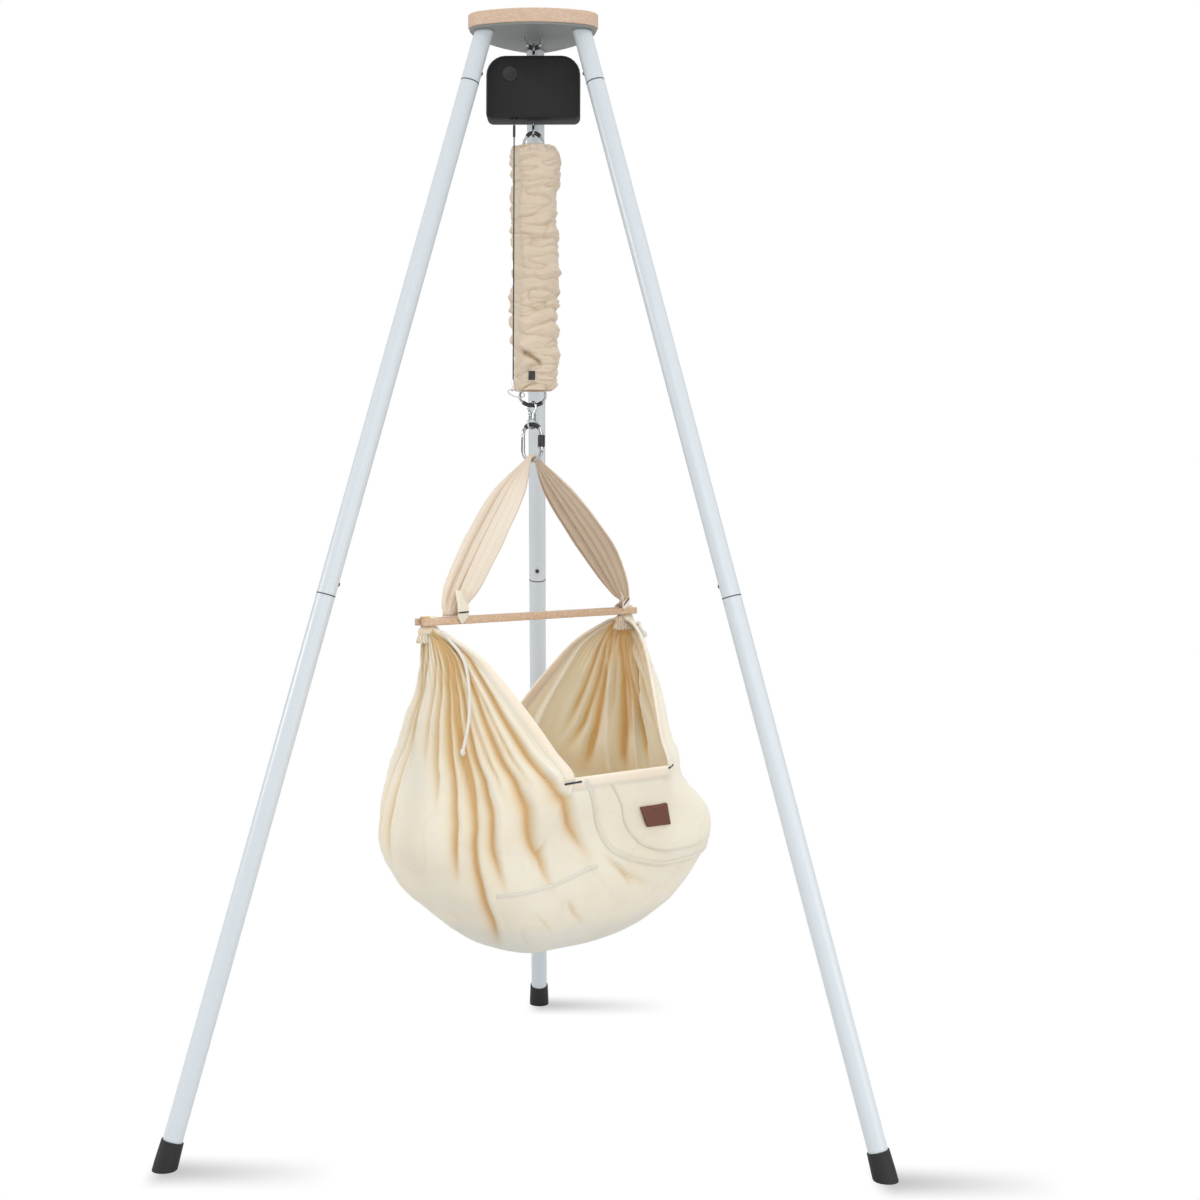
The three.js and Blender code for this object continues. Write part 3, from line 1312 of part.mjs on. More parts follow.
function strapLoop(station, side) {
  const slope = station.twist < 1 ? station.twist * QUARTER_TURN : QUARTER_TURN;
  const across = vec(Math.sin(slope), Math.cos(slope), 0);
  const out = vec(Math.cos(slope) * Math.cos(strap.lean), -Math.sin(slope),
    Math.cos(slope) * Math.sin(strap.lean));
  const middle = vec(station.x, 0, station.z);
  const top = [];
  const under = [];
  for (let i = 0; i < STRAP_STATIONS; i += 1) {
    const share = (2 * i) / (STRAP_STATIONS - 1) - 1;
    const wave = station.pleat * (i % 2 === 0 ? 1 : -1) / 2;
    const full = station.thickness / 2;
    const round = full * (1 - (strap.roundShare * share) ** 2);
    const flat = THREE.MathUtils.clamp(station.pleat / strap.pleat, 0, 1);
    const half = THREE.MathUtils.lerp(round, full, flat);
    const place = middle.clone().addScaledVector(across, station.half * share);
    top.push(place.clone().addScaledVector(out, wave + half));
    under.push(place.clone().addScaledVector(out, wave - half));
  }
  const loop = [...top, ...under.reverse()];
  return side > 0 ? loop : loop.map((p) => vec(-p.x, -p.y, p.z));
}

function hangingStrap() {
  const stations = strapStations();
  const right = stations.map((station) => strapLoop(station, 1));
  const left = stations.slice(1).map((station) => strapLoop(station, -1));
  const count = STRAP_STATIONS;
  const turned = left.map((loop) => loop.map((p, i) => {
    const across = i < count ? count - 1 - i : 3 * count - 1 - i;
    return loop[across];
  }));
  const loops = [...turned.reverse(), ...right];
  const centre = (loop) => loop.reduce((sum, p) => sum.add(p), vec(0, 0, 0))
    .multiplyScalar(1 / loop.length);
  return skin(loops, false, centre(loops[0]), centre(loops[loops.length - 1]));
}

// Tub of cloth: level rings from the bottom up to the panels' hems, then two fans that
// close in on the slots. Heights are shares of the depth, places shares of half the length
// and half the width, and the last two say how round the end cloth runs.
const bowlLevels = 6;
const rightShares = [
  // rise, corner along, near side, far side, end along, along power, across power
  [0.029, 0.175, 0.55, 0.35, 0.351, 0.85, 0.90],
  [0.078, 0.278, 0.87, 0.61, 0.629, 0.80, 0.88],
  [0.156, 0.380, 1.08, 0.81, 0.848, 0.74, 0.80],
  [0.254, 0.453, 1.18, 0.93, 0.980, 0.66, 0.74],
  [0.380, 0.480, 1.23, 1.00, 1.029, 0.60, 0.70],
  [0.572, 0.374, 1.41, 1.34, 0.921, 1.50, 1.50],
  [0.647, 0.404, 1.24, 1.22, 0.901, 1.60, 1.60],
  [0.720, 0.459, 1.07, 1.07, 0.883, 1.60, 1.60],
  [0.814, 0.538, 0.83, 0.83, 0.857, 1.60, 1.60],
  [0.901, 0.617, 0.57, 0.57, 0.830, 1.50, 1.50],
  [0.963, 0.696, 0.23, 0.23, 0.810, 1.20, 1.20],
];
const leftShares = [
  [0.029, 0.161, 0.49, 0.29, 0.278, 0.90, 0.90],
  [0.078, 0.234, 0.81, 0.47, 0.497, 0.90, 0.90],
  [0.156, 0.327, 0.96, 0.63, 0.696, 0.85, 0.90],
  [0.254, 0.409, 1.05, 0.76, 0.848, 0.80, 0.88],
  [0.380, 0.439, 1.12, 0.90, 0.942, 0.80, 0.86],
  [0.572, 0.336, 1.38, 1.13, 0.912, 1.10, 1.10],
  [0.647, 0.404, 1.24, 0.99, 0.892, 1.30, 1.30],
  [0.720, 0.459, 1.07, 0.81, 0.871, 1.40, 1.40],
  [0.814, 0.538, 0.83, 0.52, 0.830, 1.50, 1.50],
  [0.901, 0.617, 0.57, 0.27, 0.807, 1.50, 1.50],
  [0.963, 0.696, 0.23, 0.17, 0.795, 1.20, 1.20],
];
const PANEL_COLUMNS = 4;
const END_COLUMNS = 14;
const pleatHeight = 3.2;
const neckDrop = 1;              // of the bunched cloth below the bar

// The cloth's line at one end of the tub, at one level
function endForm([, corner, near, far, end, along, across]) {
  return {
    corner: (corner * TUB_LENGTH) / 2,
    near: (near * TUB_WIDTH) / 2,
    far: (far * TUB_WIDTH) / 2,
    end: (end * TUB_LENGTH) / 2,
    along,
    across,
  };
}

function tubLevels() {
  const fans = rightShares.length - bowlLevels;
  const levels = rightShares.map((row, i) => ({
    z: (row[0] - 1) * TUB_DEPTH,
    right: endForm(row),
    left: endForm(leftShares[i]),
    fan: i < bowlLevels ? 0 : 1 - (i - bowlLevels) / (2 * fans),
  }));
  const neck = {
    corner: neckX - strap.endAlong, near: neckHalf, far: neckHalf, end: neckX + strap.endAlong,
    along: 1, across: 1,
  };
  const under = -BAR_THICKNESS / 2 - JOINT_CLEARANCE - neckDrop;
  const over = BAR_THICKNESS / 2 + CLOTH - JOINT_CLEARANCE;
  levels.push({ z: under, right: neck, left: neck, fan: 0 });
  levels.push({ z: over, right: neck, left: neck, fan: 0 });
  return levels;
}

// A point of the end cloth at a level; share runs -1..1 round the end, and the near hem is
// at -1 on the right end and at 1 on the left end
function endPoint(level, share, inset, end) {
  const form = end > 0 ? level.right : level.left;
  const turn = share * QUARTER_TURN;
  const reach = form.end - form.corner - inset;
  const fold = Math.cos(share * END_COLUMNS * QUARTER_TURN) * (1 - share ** 6);
  const ripple = level.fan * pleatHeight * fold;
  const x = form.corner + reach * Math.cos(turn) ** form.along + ripple * Math.cos(turn);
  const side = share * end < 0 ? form.near : form.far;
  const width = (side - inset) * Math.abs(Math.sin(turn)) ** form.across;
  const y = Math.sign(turn) * (width + ripple * Math.abs(Math.sin(turn)));
  return vec(end * x, end * y, level.z);
}

// Half the tub's width on one side, between the left corner at 0 and the right one at 1
function sideAt(level, share, side) {
  const [left, right] = side > 0 ? [level.left.far, level.right.far]
    : [level.left.near, level.right.near];
  return THREE.MathUtils.lerp(left, right, THREE.MathUtils.smoothstep(share, 0, 1));
}

// A point of the far panel, side 1, or the near panel, side -1; share runs -1..1
function panelPoint(level, share, inset, side) {
  const place = (1 - side * share) / 2;
  const x = THREE.MathUtils.lerp(-level.left.corner, level.right.corner, place);
  return vec(x, side * (sideAt(level, place, side) - inset), level.z);
}

// Once round at one level: right end, far panel, left end, near panel
function tubLoop(level, inset) {
  const loop = [];
  for (const end of [1, -1]) {
    for (let i = 0; i < END_COLUMNS; i += 1) {
      loop.push(endPoint(level, (2 * i) / END_COLUMNS - 1, inset, end));
    }
    for (let i = 0; i < PANEL_COLUMNS; i += 1) {
      loop.push(panelPoint(level, (2 * i) / PANEL_COLUMNS - 1, inset, end));
    }
  }
  return loop;
}

function clothInset(level) {
  const share = THREE.MathUtils.clamp(level.right.near / (TUB_WIDTH / 4), 0, 1);
  return THREE.MathUtils.lerp(CLOTH / 2, CLOTH, share);
}

function hammockTub() {
  const levels = tubLevels();
  const count = 2 * (END_COLUMNS + PANEL_COLUMNS);
  const outer = levels.map((level) => tubLoop(level, 0));
  const inner = levels.map((level, i) => tubLoop(
    { ...level, z: i === 0 ? level.z + CLOTH : level.z }, clothInset(level)));
  const bottom = vec(0, 0, -TUB_DEPTH);
  outer.unshift(new Array(count).fill(bottom));
  inner.unshift(new Array(count).fill(bottom.clone().setZ(bottom.z + CLOTH)));
  const rows = outer.length;
  const filled = (column, row) => {
    if (row < 0 || row >= rows - 1) return false;
    const place = column % (END_COLUMNS + PANEL_COLUMNS);
    return row < bowlLevels || place < END_COLUMNS;
  };
  const positions = [...outer.flat(), ...inner.flat()].flatMap((p) => [p.x, p.y, p.z]);
  const at = (column, row, within) => (within ? rows * count : 0) + row * count
    + ((column + count) % count);
  const faces = [];
  const quad = (a, b, c, d) => faces.push(a, b, c, a, c, d);
  for (let row = 0; row < rows - 1; row += 1) {
    for (let column = 0; column < count; column += 1) {
      const next = column + 1;
      if (!filled(column, row)) continue;
      quad(at(column, row), at(next, row), at(next, row + 1), at(column, row + 1));
      quad(at(column, row + 1, true), at(next, row + 1, true), at(next, row, true),
        at(column, row, true));
      if (!filled(column, row + 1)) {
        quad(at(column, row + 1), at(next, row + 1), at(next, row + 1, true),
          at(column, row + 1, true));
      }
      if (!filled((next + count) % count, row)) {
        quad(at(next, row), at(next, row, true), at(next, row + 1, true), at(next, row + 1));
      }
      if (!filled((column + count - 1) % count, row)) {
        quad(at(column, row, true), at(column, row), at(column, row + 1),
          at(column, row + 1, true));
      }
    }
  }
  const geometry = new THREE.BufferGeometry();
  geometry.setAttribute('position', new THREE.Float32BufferAttribute(positions, 3));
  geometry.setIndex(faces);
  return closed(geometry);
}

// Mattress: follows the tub's inside up to its edge, with a crowned top
const mattress = {
  gap: 1.5,                       // round the cloth
  edgeRise: 85,                   // widest ring above the tub's bottom
  crown: 12,
};

function mattressForm() {
  const low = -TUB_DEPTH + CLOTH + mattress.gap / 2;
  const levels = tubLevels();
  const inset = CLOTH + mattress.gap;
  const [first, second, third] = levels;
  const share = (-TUB_DEPTH + mattress.edgeRise - second.z) / (third.z - second.z);
  const mixForm = (a, b, t) => Object.fromEntries(Object.keys(a)
    .map((key) => [key, THREE.MathUtils.lerp(a[key], b[key], t)]));
  const mix = (a, b, t) => ({
    z: THREE.MathUtils.lerp(a.z, b.z, t),
    right: mixForm(a.right, b.right, t),
    left: mixForm(a.left, b.left, t),
    fan: 0,
  });
  const edge = mix(second, third, share);
  const raised = { ...first, z: first.z + CLOTH + mattress.gap };
  const rings = [[raised, inset], [second, inset], [edge, inset]];
  const crownShares = [[0.25, 0.04], [0.6, 0.12], [0.85, 0.4], [0.96, 0.7]];
  const drawn = (form, draw) => ({
    ...form,
    corner: form.corner * (1 - draw),
    near: (form.near - inset) * (1 - draw),
    far: (form.far - inset) * (1 - draw),
    end: (form.end - inset) * (1 - draw),
  });
  for (const [lift, draw] of crownShares) {
    const z = edge.z + lift * mattress.crown;
    rings.push([{ ...edge, z, right: drawn(edge.right, draw), left: drawn(edge.left, draw) }, 0]);
  }
  const loops = rings.map(([ring, by]) => tubLoop(ring, by));
  return skin(loops, false, vec(0, 0, low), vec(0, 0, edge.z + mattress.crown));
}

const label = {
  left: 70,                       // along the near panel
  width: 68,
  skew: 20,                       // its lower edge sits further along the panel
  lowShare: 0.1,                  // of the level on which it is sewn
  highShare: 0.41,
  thickness: 1.6,
  lift: 0.7,                      // off the panel, which is straight between its columns
};

function clothLabel() {
  const levels = tubLevels();
  const [low, high] = levels.slice(bowlLevels - 2, bowlLevels);
  const depthAt = (level, x) => {
    const [from, to] = [-level.left.corner, level.right.corner];
    return sideAt(level, (x - from) / (to - from), -1);
  };
  const corner = (x, share, lift) => vec(x,
    -THREE.MathUtils.lerp(depthAt(low, x), depthAt(high, x), share) - lift,
    THREE.MathUtils.lerp(low.z, high.z, share));
  const ring = (lift) => [
    corner(label.left + label.skew, label.lowShare, lift),
    corner(label.left + label.skew + label.width, label.lowShare, lift),
    corner(label.left + label.width, label.highShare, lift),
    corner(label.left, label.highShare, lift),
  ];
  const near = ring(label.lift);
  const far = ring(label.lift + label.thickness);
  const middle = (loop) => loop.reduce((sum, p) => sum.add(p), vec(0, 0, 0))
    .multiplyScalar(1 / loop.length);
  return skin([near, far], false, middle(near), middle(far));
}

// Drawstrings: doubled cords from the gathers, each with a knot
const drawstring = {
  radius: 1.7,
  spacing: 2.6,
  knot: 4.6,
  clear: 0.3,
  slack: 1.6,                     // between its ends the cord hangs clear of the pleats
  topShare: 0.75,                 // place round the end cloth, from the middle to the near hem
  lowShare: 0.4,
  fallPower: 0.7,                 // how the cord nears the middle on its way down
  shortShare: -0.7,
  shortLength: 20,
  shortOut: 1.4,
  shortLowOut: 2.4,
};

function drawstringCord(points) {
  const side = vec(0, 1, 0);
  const strands = [-1, 1].map((s) => solid(sweep(points.map((p) => p.clone()
    .addScaledVector(side, (s * drawstring.spacing) / 2)), drawstring.radius, 8)));
  const ball = (p, squash) => solid(new THREE.SphereGeometry(drawstring.knot, 8, 6)
    .scale(1, 1, squash).translate(p.x, p.y, p.z));
  const [first, last] = [points[0], points[points.length - 1]];
  return geometryOf(joined(ball(last, 1.5), ball(first, 1), ...strands));
}

function buildDrawstrings(parent) {
  const levels = tubLevels();
  const out = -(drawstring.knot + drawstring.clear);
  const fan = levels.slice(bowlLevels, rightShares.length).reverse();
  const long = fan.map((level, i) => {
    const share = THREE.MathUtils.lerp(drawstring.topShare, drawstring.lowShare,
      (i / (fan.length - 1)) ** drawstring.fallPower);
    const free = i % (fan.length - 1) === 0 ? 0 : drawstring.slack;
    return endPoint({ ...level, fan: 0 }, share, out - free, -1);
  });
  piece(parent, 'drawstring_left', drawstringCord(long), whiteCord());
  const top = levels[levels.length - 3];
  const start = endPoint({ ...top, fan: 0 }, drawstring.shortShare, drawstring.shortOut * out, 1);
  const below = levels[levels.length - 4];
  const share = drawstring.shortLength / (top.z - below.z);
  const lower = endPoint({ ...below, fan: 0 }, drawstring.shortShare,
    drawstring.shortLowOut * out, 1);
  const end = start.clone().lerp(lower, share);
  piece(parent, 'drawstring_right', drawstringCord([start, end]), whiteCord());
}

function buildHammock(parent) {
  const frame = new THREE.Group();
  frame.position.z = barMiddle;
  frame.rotation.z = HAMMOCK_YAW;
  parent.add(frame);
  piece(frame, 'hanging_bar', hangingBar(), beech());
  piece(frame, 'hanging_strap', hangingStrap(), creamCloth());
  piece(frame, 'hammock_tub', hammockTub(), creamCloth());
  piece(frame, 'mattress', mattressForm(), creamCloth());
  piece(frame, 'cloth_label', clothLabel(), brownLeather());
  buildDrawstrings(frame);
}

buildLegs(cradle);
buildHead(cradle);
buildHanger(cradle, cradle);
buildMotor(cradle);
buildSpring(cradle);
buildDrive(cradle);
buildSwivel(cradle, cradle);
buildCarabiner(cradle);
buildHammock(cradle);

// The middle of the outer box is brought over the origin, the soles onto z = 0
cradle.updateMatrixWorld(true);
const box = new THREE.Box3().setFromObject(cradle, true);
const middle = box.getCenter(new THREE.Vector3());
cradle.position.set(-middle.x, -middle.y, -box.min.z);
cradle.updateMatrixWorld(true);
const axis = cradle.position;
console.log(`stand axis at x ${axis.x.toFixed(2)}, y ${axis.y.toFixed(2)}, z ${axis.z.toFixed(2)}`);
const heights = { hookTop, coilTop, coilBottom, hookBottom, swivelTop, carabinerTop,
  carabinerLow, barMiddle, lowerEyeCentre, drumHeight };
for (const [name, height] of Object.entries(heights)) {
  console.log(`${name} ${height.toFixed(2)}`);
}

export default cradle;
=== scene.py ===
import json
import math

import bpy
import numpy as np
from mathutils import Matrix, Vector, noise

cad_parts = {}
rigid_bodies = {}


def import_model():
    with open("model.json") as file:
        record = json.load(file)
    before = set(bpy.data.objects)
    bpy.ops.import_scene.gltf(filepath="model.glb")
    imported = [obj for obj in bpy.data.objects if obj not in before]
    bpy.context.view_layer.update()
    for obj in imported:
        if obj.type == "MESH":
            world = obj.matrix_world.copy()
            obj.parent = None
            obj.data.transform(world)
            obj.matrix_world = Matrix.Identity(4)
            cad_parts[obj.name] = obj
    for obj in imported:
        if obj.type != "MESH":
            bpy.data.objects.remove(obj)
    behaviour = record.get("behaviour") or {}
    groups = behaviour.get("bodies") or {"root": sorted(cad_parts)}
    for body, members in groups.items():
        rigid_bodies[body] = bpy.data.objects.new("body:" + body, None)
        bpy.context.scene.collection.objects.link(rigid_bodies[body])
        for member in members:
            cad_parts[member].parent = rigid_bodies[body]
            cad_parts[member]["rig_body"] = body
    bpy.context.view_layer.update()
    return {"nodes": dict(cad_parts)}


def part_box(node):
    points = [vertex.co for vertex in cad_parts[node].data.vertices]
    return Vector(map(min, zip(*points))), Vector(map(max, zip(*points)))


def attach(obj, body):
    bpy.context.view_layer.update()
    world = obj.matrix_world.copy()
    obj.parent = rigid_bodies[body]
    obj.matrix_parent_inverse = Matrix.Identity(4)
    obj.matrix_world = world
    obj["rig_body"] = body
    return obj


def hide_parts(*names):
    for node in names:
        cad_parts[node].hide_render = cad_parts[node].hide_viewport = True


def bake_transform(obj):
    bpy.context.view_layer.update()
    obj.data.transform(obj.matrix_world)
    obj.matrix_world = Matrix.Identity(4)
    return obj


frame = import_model()

# Camera: stands level in front of the cradle, a little to its right, and looks
# at the upright line through the motor, spring and swivel.
eye_low, eye_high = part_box("motor_top_eye")
AXIS = Vector(((eye_low[0] + eye_high[0]) / 2, (eye_low[1] + eye_high[1]) / 2, 0))
CAMERA_DISTANCE = 3.6
CAMERA_HEIGHT = 1.1847
CAMERA_TURN = math.radians(1.7)
CAMERA_ROLL = 0.004
PICTURE_WIDTH = 1200
# The lens points at this pixel of the picture, counted from the left and the top
AIM_ACROSS = 532
AIM_DOWN = 491.3
lens = bpy.data.cameras.new("camera")
lens.lens = 56.07
lens.sensor_width = 36
lens.shift_x = (PICTURE_WIDTH / 2 - AIM_ACROSS) / PICTURE_WIDTH
lens.shift_y = (AIM_DOWN - PICTURE_WIDTH / 2) / PICTURE_WIDTH
lens.clip_end = 60
camera = bpy.data.objects.new("camera", lens)
bpy.context.scene.collection.objects.link(camera)
stand_off = Vector((math.sin(CAMERA_TURN), -math.cos(CAMERA_TURN), 0)) * CAMERA_DISTANCE
camera.matrix_world = (
    Matrix.Translation(AXIS + stand_off + Vector((0, 0, CAMERA_HEIGHT)))
    @ Matrix.Rotation(CAMERA_TURN, 4, "Z")
    @ Matrix.Rotation(math.pi / 2, 4, "X")
    @ Matrix.Rotation(CAMERA_ROLL, 4, "Z")
)
bpy.context.scene.camera = camera

# Drawstrings: doubled white cotton cords that close the gathers. The long one
# comes out of the left gather and hangs over the cloth, with a knot at each end;
# the short one ends in a knot under the right end of the bar.
BAR_HEIGHT = 0.9448
HAMMOCK_TURN = math.radians(44.7)
hammock_frame = Matrix.Translation(AXIS + Vector((0, 0, BAR_HEIGHT))) @ Matrix.Rotation(
    HAMMOCK_TURN, 4, "Z"
)
STRAND_RADIUS = 0.0017
STRAND_SPACING = 0.0022
STRAND_PITCH = 0.009
CORD_SIDES = 20
KNOT_RADIUS = 0.0046
KNOT_ROWS = 9
KNOT_SIDES = 14


def from_hammock(points):
    matrix = np.array(hammock_frame)
    return np.asarray(points) @ matrix[:3, :3].T + matrix[:3, 3]


def mesh_piece(name, points, faces, material):
    mesh = bpy.data.meshes.new(name)
    mesh.from_pydata([tuple(p) for p in points], [], [tuple(int(i) for i in f) for f in faces])
    mesh.validate()
    piece = bpy.data.objects.new(name, mesh)
    bpy.context.scene.collection.objects.link(piece)
    mesh.materials.append(material)
    mesh.polygons.foreach_set("use_smooth", np.ones(len(mesh.polygons), bool))
    return piece


def curve_between(s, gap, start, end, start_slope, end_slope):
    return (
        (2 * s**3 - 3 * s**2 + 1) * start
        + (s**3 - 2 * s**2 + s) * gap * start_slope
        + (3 * s**2 - 2 * s**3) * end
        + (s**3 - s**2) * gap * end_slope
    )


def spread_along(points, count):
    points = np.asarray(points, float)
    steps = np.linalg.norm(np.diff(points, axis=0), axis=1)
    place = np.concatenate([[0], np.cumsum(steps)])
    wanted = np.linspace(0, place[-1], count)
    slopes = np.gradient(points, place, axis=0)
    k = np.clip(np.searchsorted(place, wanted) - 1, 0, len(place) - 2)
    gap = (place[k + 1] - place[k])[:, None]
    s = ((wanted - place[k])[:, None]) / gap
    return curve_between(s, gap, points[k], points[k + 1], slopes[k], slopes[k + 1])


def grid_faces(rows, columns):
    faces = []
    for row in range(rows - 1):
        for column in range(columns):
            a = row * columns + column
            b = row * columns + (column + 1) % columns
            faces.append((a, b, b + columns, a + columns))
    return faces


# A closed skin over a row of rings, with a middle point at each end
def skin(rings, ends=None, flipped=False):
    rings = np.asarray(rings, float)
    count, sides = rings.shape[:2]
    if ends is None:
        ends = np.array([rings[0].mean(0), rings[-1].mean(0)])
    points = np.concatenate([rings.reshape(-1, 3), ends])
    faces = grid_faces(count, sides)
    first, last, base = count * sides, count * sides + 1, (count - 1) * sides
    faces += [(first, (k + 1) % sides, k) for k in range(sides)]
    faces += [(last, base + k, base + (k + 1) % sides) for k in range(sides)]
    if flipped:
        faces = [tuple(reversed(face)) for face in faces]
    return points, faces


# A doubled cord lies flat: its section is pinched between the two strands
def rope(line, radius, sides):
    line = np.asarray(line, float)
    along = np.gradient(line, axis=0)
    along /= np.linalg.norm(along, axis=1)[:, None]
    side = np.cross(along[0], (0.31, 0.9, 0.2))
    turn = np.linspace(0, 2 * np.pi, sides, endpoint=False)
    run = 0
    rings = []
    for i, point in enumerate(line):
        side = side - along[i] * np.dot(side, along[i])
        side /= np.linalg.norm(side)
        other = np.cross(along[i], side)
        run += 0 if i == 0 else np.linalg.norm(point - line[i - 1])
        twist = 0.05 * np.cos(4 * turn - 2 * np.pi * run / STRAND_PITCH)
        size = (radius * (0.74 + 0.26 * np.abs(np.cos(turn)) ** 0.8 + twist))[:, None]
        rings.append(point + np.cos(turn)[:, None] * size * side + np.sin(turn)[:, None] * size * other)
    return skin(rings, line[[0, -1]])


def ball(middle, radius, stretch):
    turn = np.linspace(0, 2 * np.pi, KNOT_SIDES, endpoint=False)
    rings = []
    for row in range(1, KNOT_ROWS):
        lift = np.pi * row / KNOT_ROWS
        bulge = radius * np.sin(lift) * (1 + 0.12 * np.cos(3 * turn + 5 * lift))
        height = np.full(KNOT_SIDES, stretch * radius * np.cos(lift))
        rings.append(np.stack([bulge * np.cos(turn), bulge * np.sin(turn), height], 1))
    points, faces = skin(rings, [(0, 0, stretch * radius), (0, 0, -stretch * radius)], flipped=True)
    return points + np.asarray(middle), faces


# One shader node; an input is either a value or the output of another node
def shader_node(tree, kind, inputs=(), **settings):
    made = tree.nodes.new("ShaderNode" + kind)
    for name, value in settings.items():
        setattr(made, name, value)
    for socket, value in dict(inputs).items():
        if isinstance(value, bpy.types.NodeSocket):
            tree.links.new(value, made.inputs[socket])
        else:
            made.inputs[socket].default_value = value
    return made


def principled(name, colour, roughness, metallic=0.0, more=()):
    material = bpy.data.materials.new(name)
    material.use_nodes = True
    tree = material.node_tree
    shader = tree.nodes["Principled BSDF"]
    values = {"Base Color": (*colour, 1), "Roughness": roughness, "Metallic": metallic, **dict(more)}
    for socket, value in values.items():
        shader.inputs[socket].default_value = value
    return material, tree, shader


def bumpy(tree, shader, height, depth, strength=1.0):
    bump = shader_node(tree, "Bump", {"Strength": strength, "Distance": depth, "Height": height})
    tree.links.new(bump.outputs["Normal"], shader.inputs["Normal"])


def grained(name, colour, roughness, grain, depth, metallic=0.0, detail=3.0, more=()):
    material, tree, shader = principled(name, colour, roughness, metallic, more)
    place = shader_node(tree, "TexCoord").outputs["Object"]
    speckle = shader_node(tree, "TexNoise", {"Scale": grain, "Detail": detail, "Vector": place})
    bumpy(tree, shader, speckle.outputs["Fac"], depth)
    return material


white_cotton = grained("white cotton cord", (0.74, 0.70, 0.645), 0.9, grain=900, depth=0.0004)


def drawstring(name, node, line, knots):
    line = spread_along(line, 90 if len(line) > 2 else 16)
    points, faces = rope(line, STRAND_RADIUS + STRAND_SPACING / 2, CORD_SIDES)
    piece = mesh_piece(name, from_hammock(points), faces, white_cotton)
    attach(piece, "hammock")
    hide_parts(node)
    for word, k, stretch in knots:
        points, faces = ball(line[k], KNOT_RADIUS, stretch)
        knot = mesh_piece(f"{word}_knot_of_{name}", from_hammock(points), faces, white_cotton)
        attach(knot, "hammock")


LONG_LINE = np.array((
    (-0.2503, -0.0404, -0.0238), (-0.2414, -0.0783, -0.0636), (-0.2420, -0.0959, -0.1194),
    (-0.2548, -0.1078, -0.1798), (-0.2686, -0.1093, -0.2266),
))
SHORT_LINE = np.array(((0.2558, -0.0404, -0.0238), (0.2463, -0.0665, -0.0438)))
drawstring("long_drawstring", "drawstring_left", LONG_LINE, (("upper", 0, 1.0), ("lower", -1, 1.5)))
drawstring("short_drawstring", "drawstring_right", SHORT_LINE, (("upper", 0, 1.0), ("lower", -1, 1.5)))

# Studio: a white floor that fades into a white surround, and three plain lamps on
# the left, in front and on the right. Where the camera looks at the floor it shows
# plain white with the feet's soft shadows painted to the right of each foot.
bpy.context.scene.view_settings.view_transform = "Standard"
SIDE_LIGHT = 0.22
OVERHEAD_LIGHT = 1.35
world = bpy.data.worlds.new("white surround")
bpy.context.scene.world = world
world.use_nodes = True
sky = world.node_tree
sky.nodes.clear()
ray = shader_node(sky, "LightPath")
seen = shader_node(sky, "Math", {
    0: ray.outputs["Is Camera Ray"], 1: ray.outputs["Is Transmission Ray"],
}, operation="MAXIMUM")
direction = shader_node(sky, "TexCoord")
split = shader_node(sky, "SeparateXYZ", {0: direction.outputs["Generated"]})
overhead = shader_node(sky, "MapRange", {
    "From Min": -0.1, "From Max": 0.8, "To Min": SIDE_LIGHT, "To Max": OVERHEAD_LIGHT,
    "Value": split.outputs["Z"],
}, interpolation_type="SMOOTHSTEP")
soft_light = shader_node(sky, "Background", {
    "Color": (0.96, 0.98, 1, 1), "Strength": overhead.outputs["Result"]})
white = shader_node(sky, "Background", {"Color": (1, 1, 1, 1)})
both = shader_node(sky, "MixShader", {
    "Fac": seen.outputs[0], 1: soft_light.outputs[0], 2: white.outputs[0]})
shader_node(sky, "OutputWorld", {"Surface": both.outputs[0]})


def lamp(name, place, aim_height, width, watts):
    light = bpy.data.lights.new(name, "AREA")
    light.shape = "DISK"
    light.size = width
    light.energy = watts
    light.color = (1, 0.99, 0.97)
    holder = bpy.data.objects.new(name, light)
    bpy.context.scene.collection.objects.link(holder)
    holder.location = place
    aim = Vector((0, 0, aim_height)) - Vector(place)
    holder.rotation_euler = aim.to_track_quat("-Z", "Y").to_euler()


lamp("left lamp", (-4.2, -0.9, 1.9), aim_height=0.7, width=0.8, watts=31)
lamp("front lamp", (0.5, -3.3, 1.75), aim_height=0.85, width=1.8, watts=19)
lamp("right lamp", (3.3, -2.6, 0.9), aim_height=0.6, width=1.8, watts=23)


def deselect():
    for other in bpy.context.selected_objects:
        other.select_set(False)


FLOOR_RADIUS = 12
deselect()
bpy.ops.mesh.primitive_circle_add(
    vertices=64, radius=FLOOR_RADIUS, fill_type="NGON", location=(0, 0, 0))
floor = bpy.context.object
floor.name = "floor"
# Where each leg stands: its foot's distance from the middle, and the way it points
LEG_FOOT = 0.722
LEG_TURNS = {"left": math.radians(210), "right": math.radians(330), "back": math.radians(90)}
SHADOW = 0.46
SHADOW_LEFT = 0.035
SHADOW_LENGTH = 0.30
SHADOW_FAR = 0.085
SHADOW_NEAR = 0.105
SHADOW_EDGE = 0.01
floor_paint = bpy.data.materials.new("floor white")
floor_paint.use_nodes = True
paint = floor_paint.node_tree
paint.nodes.clear()
split = shader_node(paint, "SeparateXYZ", {0: shader_node(paint, "TexCoord").outputs["Object"]})


def floor_range(value, low, high, top=1.0):
    return shader_node(paint, "MapRange", {
        "From Min": low, "From Max": high, "To Max": top, "Value": value,
    }, interpolation_type="SMOOTHSTEP" if top == 1.0 else "LINEAR").outputs["Result"]


def floor_math(kind, a, b):
    return shader_node(paint, "Math", {0: a, 1: b}, operation=kind).outputs[0]


